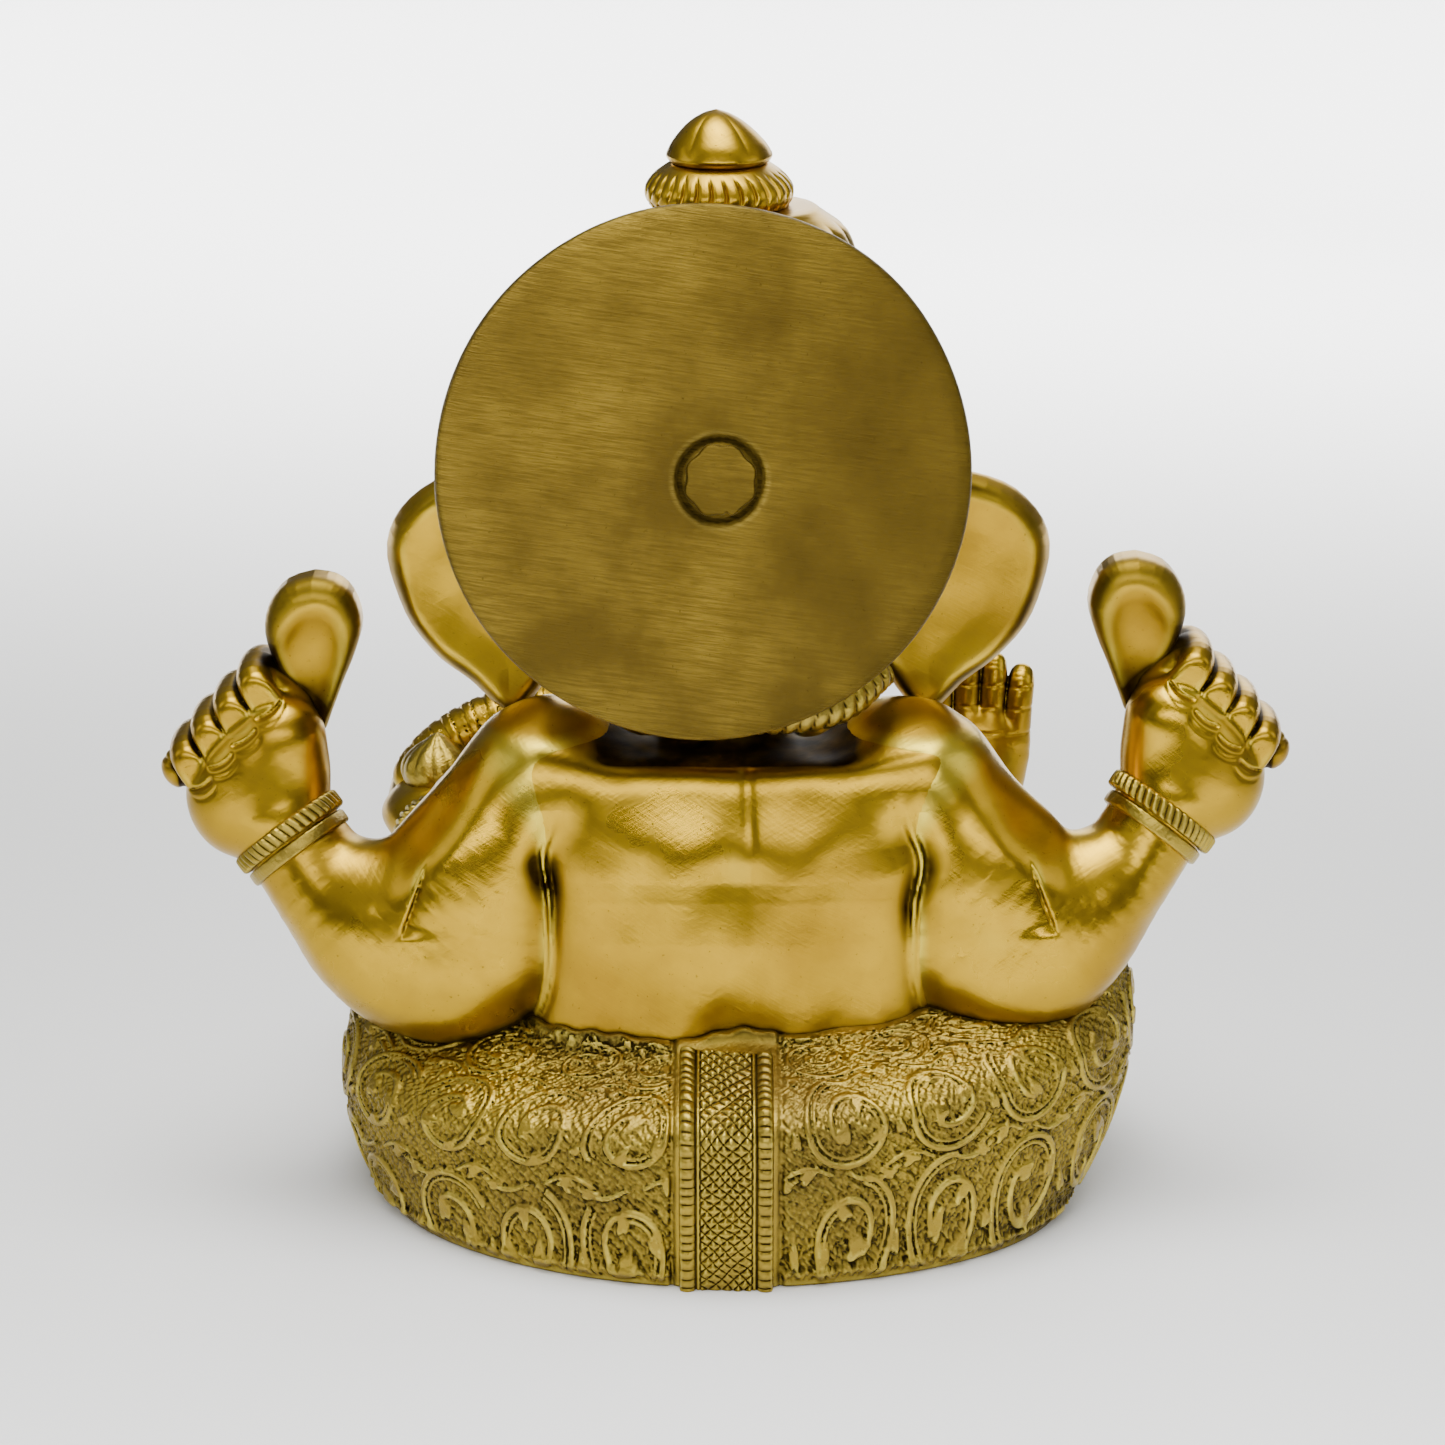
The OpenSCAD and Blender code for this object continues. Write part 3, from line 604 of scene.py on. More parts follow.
def scroll_relief(u, v, seed):
    """Raised scrolls drawn with a double line, leaves in and between them, and stems joining them."""
    pitch_u, pitch_v = 17.0, 16.4
    v = v - 2.1
    row = np.floor(v / pitch_v)
    column = np.floor(u / pitch_u)
    rand = np.abs(np.sin(column * 12.9898 + row * 78.233 + seed) * 43758.5453) % 1
    hand = np.where((column + row) % 2 < 1, 1.0, -1.0)
    x = u - (column + 0.5) * pitch_u + (rand - 0.5) * 1.4
    y = v - (row + 0.5) * pitch_v + (0.5 - rand) * 1.2
    rho = np.hypot(x, y * (0.95 + 0.1 * rand))
    phi = np.arctan2(y, x * hand) + 6.28 * rand
    inner, growth = 3.0, 0.6                    # first radius, and growth per radian
    wrap = np.round(((rho - inner) / growth - phi) / (2 * math.pi))
    arm = inner + growth * (phi + 2 * math.pi * wrap)
    on = (arm > inner) & (arm < 8.0)
    out = raised_line(np.where(on, np.abs(rho - arm), 9.0), 0.62)
    fine = np.where(on & (arm > 4.6), np.abs(rho - arm + 1.15), 9.0)
    out = np.maximum(out, 0.7 * raised_line(fine, 0.4))
    # leaves: where the scroll ends, across from that, and two growing in from the line
    start = -6.28 * rand
    blades = np.full(len(u), 9.0)
    for angle, away, turn, length, width in ((0.0, 2.0, 0.9, 2.2, 1.45), (2.7, 3.6, 0.3, 2.1, 1.2),
                                             (4.3, 4.6, 1.2, 1.9, 1.1)):
        ex, ey = hand * away * np.cos(start + angle), away * np.sin(start + angle)
        blades = np.minimum(blades, leaf(x - ex, y - ey, hand * (start + angle) + turn, length, width))
    # and in the corners between the scrolls
    cx = u - np.round(u / pitch_u) * pitch_u
    cy = v - np.round(v / pitch_v) * pitch_v
    blades = np.minimum(blades, leaf(cx - 1.9, cy - 0.6, 6.28 * rand, 2.0, 1.2))
    blades = np.minimum(blades, leaf(cx + 2.0, cy + 0.9, 6.28 * rand + 2, 1.8, 1.1))
    blades = np.minimum(blades, leaf(cx, cy - 6.2, 1.5 + rand, 1.7, 1.0))
    out = np.maximum(out, 0.6 * (1 - step(blades, -0.55, 0.1))
                     - 0.25 * np.exp(-((blades - 0.35) / 0.28) ** 2))
    stem = np.abs(cy - 1.6 * np.sin(cx * 0.37 + row))
    return np.maximum(out, raised_line(stem, 0.5) - 0.05)


def stipple(u, v):
    """The small round punch marks between the raised lines."""
    u = u + 0.35 * np.sin(v * 1.3)
    return (np.cos(u * 4.4 + np.sin(v * 2.1)) * np.cos(v * 4.2 + np.sin(u * 1.9))
            + 0.4 * np.sin(u * 2.3 - v * 3.1))


def lap_relief(p):
    u, v = lap_uv(p)
    beside = np.abs(p[:, 0] - SASH_X)
    on_back = step(p[:, 1], 10, 20)
    sash = on_back * (1 - step(beside, SASH_HALF + 0.4, SASH_HALF + 1.6))
    raised = scroll_relief(np.abs(u) - 9.0, v, np.where(u > 0, 3.0, 11.0))
    ground = 0.2 * stipple(u, v) * (1 - step(raised, 0.02, 0.2))
    out = raised + ground - 0.12
    hem = np.exp(-((p[:, 2] - 2.4) / 0.7) ** 2) * 0.4
    out = out * (1 - sash) * step(p[:, 2], 0.6, 2.0) + hem * (1 - sash)
    groove = np.exp(-((beside - SASH_HALF - 0.9) / 0.5) ** 2) * on_back
    near_waist = step(torso_raw(p) - 1.3, -0.4, 0.6)
    return out * near_waist - 0.45 * groove


HOLLOW_TOP = 30.5


def lap_field(p):
    f = lap_raw(p) - lap_relief(p)
    x, y, z = p[:, 0] - LAP_X, p[:, 1] - 4.5, p[:, 2]
    room = (np.sqrt((x / 52) ** 2 + (y / 36) ** 2) - 1) * 36
    hollow = smax(room + 0.35 * np.maximum(z - 10, 0), z - HOLLOW_TOP, 4)
    f = smax(f, -hollow, 1.0)
    return smax(f, -z, 0.5)


# ---------------------------------------------------------------- hands and feet

def fingers(p, chains, blend=0.5):
    """Fingers or toes, each a chain of x, y, z, radius, parted by tight grooves."""
    f = np.full(len(p), 1e3)
    for chain in chains:
        f = smin(f, limb(p, chain, 3), blend)
    return f


FINGERS = [[73.7, 86.6, 2.8], [77.6, 82.4, 2.8], [81.4, 78.5, 2.75], [85.0, 74.3, 2.65]]
FINGER_X, FINGER_Z = 0.57, 0.82        # the way the fingers lie across the fist, towards their ends


def rear_hand_shape(p):
    """A closed fist seen from its back, four filed fingers folding over in a slanting row."""
    f = limb(p, [[68.5, 9, 61, 7.8], [72, 8, 66.5, 8.6], [74.6, 6, 72, 8.8]], 2)
    f = smin(f, limb(p, [[70.8, 7, 78.5, 7.2], [79, 6.2, 69.2, 7.2]], 1), 4)
    f = smin(f, limb(p, [[70, 6, 72, 6.2], [78, 6.5, 65.5, 6.6]], 1), 4)
    f = smin(f, limb(p, [[70.5, 0, 80.5, 5.8], [80, -1.5, 71.5, 6.2]], 1), 3)
    f = smin(f, limb(p, [[69.5, 2.0, 82.5, 4.6], [73.6, 3.0, 87.5, 3.6]], 1), 1.5)
    rows = []
    for x, z, r in FINGERS:
        place = lambda along, y, size: [x + along * FINGER_X, y, z + along * FINGER_Z, size]
        rows.append([place(-5.2, 7.6, r), place(-2, 9.2, r), place(1.2, 8.2, r), place(2.2, 4.4, r),
                     place(2.0, -2, r - 0.1),
                     place(0.2, -6.4, r - 0.2), place(-5, -7.4, r - 0.3)])
    digits = smax(fingers(p, rows, 0.25), p[:, 1] - 10.6, 0.6)
    f = smin(f, digits, 0.9)
    for x, z, r in FINGERS:
        along = (p[:, 0] - x) * FINGER_X + (p[:, 2] - z) * FINGER_Z
        beside = (p[:, 0] - x) * FINGER_Z - (p[:, 2] - z) * FINGER_X
        within = 1 - step(np.abs(beside), 1.8, 2.9)
        on_back = step(p[:, 1], 3, 6) * within
        f = f + 0.4 * on_back * np.exp(-((along + 3.3 - 0.08 * beside ** 2) / 0.35) ** 2)
        f = f + 0.12 * on_back * np.exp(-((along + 4.9 - 0.12 * beside ** 2) / 0.35) ** 2)
    thumb = limb(p, [[70.5, -3, 72, 4.0], [69.8, -7, 76, 3.6], [72, -9.6, 79, 3.2], [76, -10, 79.5, 2.7]],
                 3)
    return smin(f, thumb, 1.2)


RIGHT_HAND_SHIFT = vec(0.8, 0, 3.2)    # the right hand is held a little higher and wider than the left


def mirrored(field):
    """The same shape on the figure's right side."""
    return lambda p: field(p * vec(-1, 1, 1) - RIGHT_HAND_SHIFT)


GRIP_OUTLINE = [[65.2, 104.4], [69.5, 103.0], [72.4, 99.4], [73.1, 95.0], [71.8, 90.4], [69.2, 85.6],
                [66.6, 80.6], [64.2, 78.6], [62.9, 81.4], [60.9, 86.6], [58.9, 91.4], [57.6, 96.4],
                [58.9, 101.2], [61.6, 103.7]]


def grip_shape(p):
    """The spoon-shaped end of the thing held, its shaft in the fist and its other end standing out below."""
    outline = curve_points(GRIP_OUTLINE + GRIP_OUTLINE[:1], 3)[:-1]
    flat = polygon_distance(p[:, 0], p[:, 2], outline)
    f = smax(flat, np.abs(p[:, 1] - 2.0) - 5.4, 4.2)
    dish = egg(p, vec(66.6, 11.9, 87.8), (7.8, 7.4, 15), -14)
    f = smax(f, -dish, 1.0)
    shaft = limb(p, [[68, 1, 82, 4.2], [74, 0, 78, 3], [82, 0, 74, 2.6], [86.8, 0.5, 71.8, 2.6]], 2)
    knob = egg(p, vec(88.0, 1.0, 71.2), (2.9, 3.4, 3.4), 30)
    groove = np.exp(-((np.hypot(p[:, 0] - 90.5, p[:, 2] - 69.8) - 3.4) / 0.45) ** 2)
    return smin(f, smin(shaft, knob, 0.5) + 0.3 * groove, 1.2)


SWEET_PLACE = vec(49.5, -43.5, 51.5)


def front_left_hand_shape(p):
    """Palm up, fingers curled round the sweet."""
    f = limb(p, [[49, -33, 46.6, 6], [50, -39, 48, 6.8], [50.4, -45, 48.6, 6.6]], 2)
    f = smin(f, egg(p, vec(50.3, -42.5, 48.6), (9, 9, 5)), 3)
    rows = []
    for i, (low, high) in enumerate(((3.4, 6.4), (3.2, 5.8), (1.8, 3.4), (0.4, 1.2))):
        x = 44.2 + 4.0 * i
        rows.append([[x, -47, 48.2, 2.7], [x, -52.2, 48.9, 2.6], [x + 0.1, -55.2, 48.9 + low, 2.4],
                     [x + 0.2, -54.8, 48.9 + high, 2.0]])
    f = smin(f, fingers(p, rows, 0.3), 1.0)
    thumb = limb(p, [[43.8, -37, 48.4, 3.3], [41, -39.6, 52, 2.8], [42, -42, 56, 2.2]], 3)
    f = smin(f, thumb, 1.2)
    return smax(f, -egg(p, SWEET_PLACE + vec(0, 0, 5.2), (6.3, 6.3, 6.1)), 0.4)


FRONT_RIGHT_SHIFT = vec(2.4, 0, 0)


def front_right_hand_shape(p):
    """Raised palm, fingers upright, with a small lotus drawn on the palm."""
    p = p - FRONT_RIGHT_SHIFT * step(p[:, 2], 50, 60)[:, None]
    f = limb(p, [[-45.5, -34, 52, 6], [-45.8, -36, 57, 6.4]], 2)
    f = smin(f, egg(p, vec(-46.2, -36.6, 61.5), (9, 4.6, 8.6)), 3)
    rows = []
    for i in range(4):
        x = -39.6 - 4.3 * i
        top = 77.6 - 1.5 * abs(i - 1.3) ** 1.3
        rows.append([[x, -36.6, 64, 2.7], [x - 0.15 * i, -36.9, 70, 2.55],
                     [x - 0.3 * i, -37.6, (70 + top) / 2 + 1, 2.4],
                     [x - 0.4 * i, -38.6, top, 2.05]])
    f = smin(f, fingers(p, rows, 0.25), 0.9)
    thumb = limb(p, [[-41, -37, 57.5, 3.4], [-37, -39, 62.5, 2.9], [-36.2, -40, 68.8, 2.3]], 3)
    f = smin(f, thumb, 1.2)
    x, z = p[:, 0] + 46.4, p[:, 2] - 61.2
    rho, phi = np.hypot(x, z), np.arctan2(z, x)
    petals = rho - 2.4 - 0.9 * np.cos(6 * phi)
    mark = np.exp(-(petals / 0.35) ** 2) + (1 - step(rho, 0.7, 1.1))
    f = f - 0.35 * mark * step(-p[:, 1], 38, 39.5)
    for i in range(4):
        for z0 in (66.2, 70.4, 74.0):
            q = np.hypot(p[:, 2] - z0 + 0.4 * abs(i - 1.3), (p[:, 0] + 39.6 + 4.5 * i) * 0.12)
            f = f + 0.22 * np.exp(-(q / 0.28) ** 2) * (np.abs(p[:, 0] + 39.6 + 4.5 * i) < 2.4)
    return f


def foot_shape(p, ankle, ball, along, out):
    """A foot lying on its side, with five toes in a fan and their nails."""
    ankle, ball, along, out = map(np.array, (ankle, ball, along, out))
    middle = (ankle + ball) / 2
    f = limb(p, [[*ankle, 6.6], [*middle, 6.6], [*ball, 6.0]], 3)
    rows, tips = [], []
    for i in range(5):
        base = ball + out * (i - 2) * 2.5 + along * 1.5
        tip = base + along * (9.2 - 0.8 * i) + out * (i - 2) * 0.3
        rows.append([[*base, 2.8 - 0.12 * i], [*((base + tip) / 2), 2.45 - 0.15 * i],
                     [*tip, 2.5 - 0.22 * i]])
        tips.append(tip)
    f = smin(f, fingers(p, rows, 0.25), 1.4)
    up = np.cross(along, out)
    up = up / np.linalg.norm(up) * (-1 if up[1] > 0 else 1)
    for i, tip in enumerate(tips):
        place = tip + up * (2.1 - 0.2 * i)
        f = f - 0.3 * (1 - step(egg(p, place, (1.3, 1.3, 1.2)), -0.2, 0.25))
    return f


def left_foot_shape(p):
    return foot_shape(p, [-3, -45, 21.5], [-19, -45.5, 23.5], [-1, 0.06, 0.05], [0, -0.45, 0.75])


def right_foot_shape(p):
    return foot_shape(p, [10, -47.5, 8.8], [27, -47.5, 8.6], [1, 0.08, 0], [0, -0.3, 0.8])


# ---------------------------------------------------------------- castings that meet along seams

RAW = {
    "torso": torso_raw, "head": head_raw, "trunk": trunk_raw,
    "left_ear": left_ear_raw, "right_ear": right_ear_raw,
    "rear_left_arm": rear_left_arm_raw, "rear_right_arm": rear_right_arm_raw,
    "front_left_arm": front_left_arm_raw, "front_right_arm": front_right_arm_raw,
}

# the box that each casting fits in
REACH = {
    "torso": ((-42, -47, 15), (40, 32, 110)), "head": ((-31, -42, 76), (31, 28, 141)),
    "trunk": ((-15, -62, 44), (62, -18, 123)),
    "left_ear": ((10, -18, 75), (58, 12, 124)), "right_ear": ((-58, -18, 75), (-10, 12, 124)),
    "rear_left_arm": ((14, -6, 26), (82, 34, 92)), "rear_right_arm": ((-83, -6, 26), (-14, 34, 92)),
    "front_left_arm": ((14, -43, 36), (60, 17, 88)), "front_right_arm": ((-58, -43, 36), (-14, 17, 88)),
}


def raw_near(name, p, matter):
    """A casting's own field where its box is nearer than matter, and that box's distance elsewhere."""
    low, high = REACH[name]
    out = np.maximum(np.maximum(np.array(low) - p, p - np.array(high)), 0)
    far = np.sqrt((out ** 2).sum(1))
    near = far < matter
    if near.any():
        far[near] = RAW[name](p[near])
    return far


# upper piece, lower piece, fillet between them: the upper one's edge lies over the lower one
SEAMS = [
    ("rear_left_arm", "torso", 8.0), ("rear_right_arm", "torso", 8.0),
    ("front_left_arm", "torso", 4.0), ("front_right_arm", "torso", 4.0),
    ("front_left_arm", "rear_left_arm", 4.0), ("front_right_arm", "rear_right_arm", 4.0),
    ("torso", "head", 3.0), ("trunk", "head", 3.0), ("left_ear", "head", 2.5), ("right_ear", "head", 2.5),
]
GROOVE_TOP = {"rear_left_arm": 71.5, "rear_right_arm": 74.5}      # where the groove beside the back ends
LAP_OVER = 1.6        # how far one casting runs on under the other's edge
SEAM_DIP = 0.05       # how far it dips there


def beside_back(name, mate, p):
    """How open the groove between the back and an arm is: 0 above its pointed top, widest below that."""
    arm = name if name in GROOVE_TOP else mate if mate in GROOVE_TOP else None
    if arm is None or "torso" not in (name, mate):
        return None
    top = GROOVE_TOP[arm]
    leaf_shape = np.clip((top - p[:, 2]) / 9, 0, 1) ** 0.8 * (1 - 0.6 * step(p[:, 2], 62, 44))
    return step(p[:, 1], 6, 14) * leaf_shape * step(p[:, 2], 32, 37)


def casting(name, extra=None):
    """The field of one casting, filleted into its neighbours and cut off at the seam with each."""
    own = RAW[name]
    mates = ([(b, k, True) for a, b, k in SEAMS if a == name]
             + [(a, k, False) for a, b, k in SEAMS if b == name])

    def field(p):
        base = own(p)
        total, cut = base, np.full(len(p), -9.0)
        dip = 0.0
        for mate, k, on_top in mates:
            other = raw_near(mate, p, np.abs(base) + k + 2 * LAP_OVER + 1)
            side = (base - other) / 2
            groove = beside_back(name, mate, p)
            if groove is None:
                total = smin(total, other, k)
            else:
                low = (1 - step(p[:, 2], 60, 80)) * step(p[:, 1], 4, 16)
                total = smin(total, other, k - (k - 3.0) * low)
                inward = side if "torso" == name else -side
                s = inward + 0.5 - 0.9 * np.exp(-((p[:, 2] - 63) / 5.0) ** 2)
                leaf_cut = 1.2 * np.exp(-(s / (0.6 + 0.9 * groove)) ** 2)
                total = total + groove * (leaf_cut - 0.8 * np.exp(-(s / 0.34) ** 2))
            if on_top:
                cut = np.maximum(cut, side)
            else:
                cut = np.maximum(cut, side - LAP_OVER)
                dip = dip + SEAM_DIP * step(side, -0.1, 0.5)
        total = total + dip + 0.1 * waves(p, 9.0, 5)
        if extra is not None:
            total = extra(p, total)
        return smax(total, cut, 0.2)
    return field


def body_field(p):
    """Everything large, the halo disc too, for judging how enclosed a point is; where it encloses the
    surface, as under the disc, the brass gets painted shade.
    """
    f = lap_raw(p)
    for name in ("torso", "rear_left_arm", "rear_right_arm", "front_left_arm", "front_right_arm", "head"):
        f = np.minimum(f, raw_near(name, p, 12.0))
    q = halo_local(p)
    disc = np.maximum(np.hypot(q[:, 0], q[:, 1]) - HALO_R, np.abs(q[:, 2]) - HALO_T / 2)
    return np.minimum(f, disc)


def torso_extra(p, total):
    return smax(total, TORSO_FOOT - p[:, 2], 1.0)


def head_extra(p, total):
    """The seat behind the skull for the halo, and the flat under the crown."""
    q = halo_local(p)
    boss = smax(np.hypot(q[:, 0] - RIVET_X, q[:, 1] - RIVET_Y) - 13, np.abs(q[:, 2] + 8) - 6.4, 1.0)
    return smax(smin(total, boss, 3.0), q[:, 2] + HALO_T / 2, 0.3)


# ---------------------------------------------------------------- halo frame

HALO_R, HALO_T = 41.0, 3.0
HALO_CENTRE = vec(2.7, 25, 126.6)
HALO_TILT, HALO_YAW = 10.0, 5.0
RIVET_X, RIVET_Y = -2.2, 1.0           # the rivet's place on the disc; local y runs down
RIVET_HEAD_R = 5.75


def rotation(degrees, axis):
    c, s = math.cos(math.radians(degrees)), math.sin(math.radians(degrees))
    m = np.eye(3)
    a, b = [(1, 2), (2, 0), (0, 1)][axis]
    m[a, a], m[a, b], m[b, a], m[b, b] = c, -s, s, c
    return m


HALO_TURN = rotation(HALO_YAW, 2) @ rotation(-90 + HALO_TILT, 0)


def halo_local(p):
    return (p - HALO_CENTRE) @ HALO_TURN


def halo_world(q):
    return q @ HALO_TURN.T + HALO_CENTRE


# ---------------------------------------------------------------- grids: turned and swept pieces

def grid_faces(rows, columns, wrap_rows=False, wrap_columns=True, start=0):
    """Four-sided faces over a grid of points stored row by row."""
    i = np.arange(rows if wrap_rows else rows - 1)
    j = np.arange(columns if wrap_columns else columns - 1)
    i, j = np.meshgrid(i, j, indexing="ij")
    i2, j2 = (i + 1) % rows, (j + 1) % columns
    quads = np.stack([i * columns + j, i * columns + j2, i2 * columns + j2, i2 * columns + j], -1)
    return quads.reshape(-1, 4) + start


def grid_relief(points, rows, columns, wrap_rows, reach=3):
    """Recess and wear of a grid, from how far each point lies from the average round it."""
    g = points.reshape(rows, columns, 3)
    out = np.zeros((rows, columns))
    du = np.roll(g, -1, 1) - np.roll(g, 1, 1)
    dv = np.roll(g, -1, 0) - np.roll(g, 1, 0)
    if not wrap_rows:
        dv[0], dv[-1] = g[1] - g[0], g[-1] - g[-2]
    normal = np.cross(du, dv)
    normal /= np.maximum(np.linalg.norm(normal, axis=2), 1e-9)[..., None]
    for r in range(1, reach + 1):
        around = (np.roll(g, r, 1) + np.roll(g, -r, 1) + np.roll(g, r, 0) + np.roll(g, -r, 0)) / 4
        if not wrap_rows:
            around[:r], around[-r:] = g[:r], g[-r:]
        out += ((around - g) * normal).sum(2) / reach
    return out.ravel()


def turned_piece(name, profile, place, columns=160, shape=None):
    """A piece turned about local z from a profile of radius and height that starts and ends on the axis."""
    profile = np.asarray(profile, float)
    inner = profile[1:-1]
    rows = len(inner)
    angle = np.linspace(0, 2 * math.pi, columns, endpoint=False)
    r, h = np.repeat(inner[:, 0], columns), np.repeat(inner[:, 1], columns)
    a = np.tile(angle, rows)
    if shape is not None:
        r, h = shape(r, h, a)
    ends = np.array([[0, 0, profile[0, 1]], [0, 0, profile[-1, 1]]])
    points = place(np.concatenate([np.stack([r * np.cos(a), r * np.sin(a), h], 1), ends]))
    first, last = len(r), len(r) + 1
    j = np.arange(columns)
    start_fan = np.stack([np.full(columns, first), j, (j + 1) % columns], 1)
    edge = (rows - 1) * columns
    end_fan = np.stack([np.full(columns, last), edge + (j + 1) % columns, edge + j], 1)
    quads = grid_faces(rows, columns)[:, ::-1]
    piece = new_mesh(name, points, quads, start_fan, end_fan)
    bend = np.concatenate([grid_relief(points[:-2], rows, columns, False), [0, 0]])
    set_attribute(piece, "recess", np.clip(bend * 5, 0, 1))
    set_attribute(piece, "wear", np.clip(-bend * 5, 0, 1))
    return piece


def dense_profile(points, spacing):
    """Points added along a profile, so that no step is longer than spacing."""
    pts = np.asarray(points, float)
    rows = [pts[0]]
    for a, b in zip(pts[:-1], pts[1:]):
        n = max(1, int(math.ceil(np.linalg.norm(b - a) / spacing)))
        rows += [a + (b - a) * (i + 1) / n for i in range(n)]
    return np.array(rows)


def ring_on(field, centre, axis, reach, columns):
    """Where a plane across a limb meets its surface: points and outward directions, eased over grooves."""
    centre, axis = np.array(centre, float), np.array(axis, float)
    axis = axis / np.linalg.norm(axis)
    side = np.cross(axis, vec(0.13, 0.97, 0.2))
    side /= np.linalg.norm(side)
    other = np.cross(axis, side)
    angle = np.linspace(0, 2 * math.pi, columns, endpoint=False)
    out = np.cos(angle)[:, None] * side + np.sin(angle)[:, None] * other
    low, high = np.zeros(columns), np.full(columns, reach)
    for _ in range(22):
        middle = (low + high) / 2
        inside = field(centre + out * middle[:, None]) < 0
        low, high = np.where(inside, middle, low), np.where(inside, high, middle)
    radius = low
    width = max(3, columns // 24)
    kernel = np.ones(2 * width + 1) / (2 * width + 1)
    for _ in range(2):
        padded = np.concatenate([radius[-width:], radius, radius[:width]])
        radius = np.convolve(padded, kernel, "valid")
    return centre, axis, out, radius


def band_rows(field, centre, axis, half_width, height, texture, reach=16, columns=220):
    """A band round a limb: a flat-topped cross-section with a texture of angle and width on its crown."""
    centre, axis, out, radius = ring_on(field, centre, axis, reach, columns)
    angle = np.linspace(0, 2 * math.pi, columns, endpoint=False)
    section = curve_points([[-0.97, -0.9], [-1.0, 0.3], [-0.82, 0.86], [-0.4, 1.0], [0.4, 1.0],
                            [0.82, 0.86],
                            [1.0, 0.3], [0.97, -0.9]], 4)
    points = []
    for across, rise in section:
        crown = max(0.0, rise) ** 0.5
        lift = height * rise + texture(angle * radius.mean(), across * half_width) * crown
        points.append(centre + out * (radius + lift)[:, None] + axis * (across * half_width))
    rows = len(section)
    return np.concatenate(points), grid_faces(rows, columns, wrap_rows=True), (rows, columns)


def join_grids(name, grids, shade=0.0):
    """One mesh from several closed grids. shade is the recess that all of it lies in."""
    points, faces, bends, start = [], [], [], 0
    for p, f, (rows, columns) in grids:
        points.append(p)
        faces.append(f + start)
        bends.append(grid_relief(p, rows, columns, True, 2))
        start += len(p)
    points, faces, bend = np.concatenate(points), np.concatenate(faces), np.concatenate(bends)
    piece = new_mesh(name, points, faces)
    set_attribute(piece, "recess", np.clip(shade + bend * 8, 0, 1))
    set_attribute(piece, "wear", np.clip(0.2 - bend * 6, 0, 1) * (1 - shade))
    return piece


def rope_texture(pitch, depth, lean=0.5):
    return lambda s, across: depth * np.cos(2 * math.pi * (s + lean * across) / pitch)


def tube(path, radius, columns=14, twist=0.0, strands=0):
    """A closed tube along a path of points, drawn to a point at both ends, with twisted strands if asked."""
    path = np.asarray(path, float)
    n = len(path)
    tangent = np.gradient(path, axis=0)
    tangent /= np.linalg.norm(tangent, axis=1)[:, None]
    side = np.cross(tangent, vec(0.2, 0.3, 1.0))
    side /= np.linalg.norm(side, axis=1)[:, None]
    other = np.cross(tangent, side)
    run = np.concatenate([[0], np.cumsum(np.linalg.norm(np.diff(path, axis=0), axis=1))])
    angle = np.linspace(0, 2 * math.pi, columns, endpoint=False)
    rows = []
    for i in range(n):
        end = min(1.0, 0.05 + min(i, n - 1 - i) * 0.6)
        r = radius * end
        if strands:
            r = r * (0.86 + 0.16 * np.abs(np.cos(strands * angle / 2 + run[i] * twist)))
        rows.append(path[i] + (np.cos(angle) * r)[:, None] * side[i]
                    + (np.sin(angle) * r)[:, None] * other[i])
    return np.concatenate(rows), grid_faces(n, columns), (n, columns)


def even_path(points, spacing, steps=12):
    """Points at an even spacing along a smooth curve."""
    path = curve_points(points, steps)[:, :3]
    run = np.concatenate([[0], np.cumsum(np.linalg.norm(np.diff(path, axis=0), axis=1))])
    count = max(2, int(run[-1] / spacing))
    at = np.linspace(0, run[-1], count + 1)
    return np.stack([np.interp(at, run, path[:, i]) for i in range(3)], 1)


def bead(centre, size, rows=9, columns=14):
    """A small round bead as a closed grid."""
    tilt = np.linspace(0.02, math.pi - 0.02, rows)
    angle = np.linspace(0, 2 * math.pi, columns, endpoint=False)
    r, h = np.repeat(np.sin(tilt), columns), np.repeat(np.cos(tilt), columns)
    a = np.tile(angle, rows)
    local = np.stack([r * np.cos(a), r * np.sin(a), h], 1) * size
    return local + centre, grid_faces(rows, columns)[:, ::-1], (rows, columns)


# ---------------------------------------------------------------- brass

BUMP_DEPTH = 0.0003                      # metres between the bottom and the top of the skin's grain


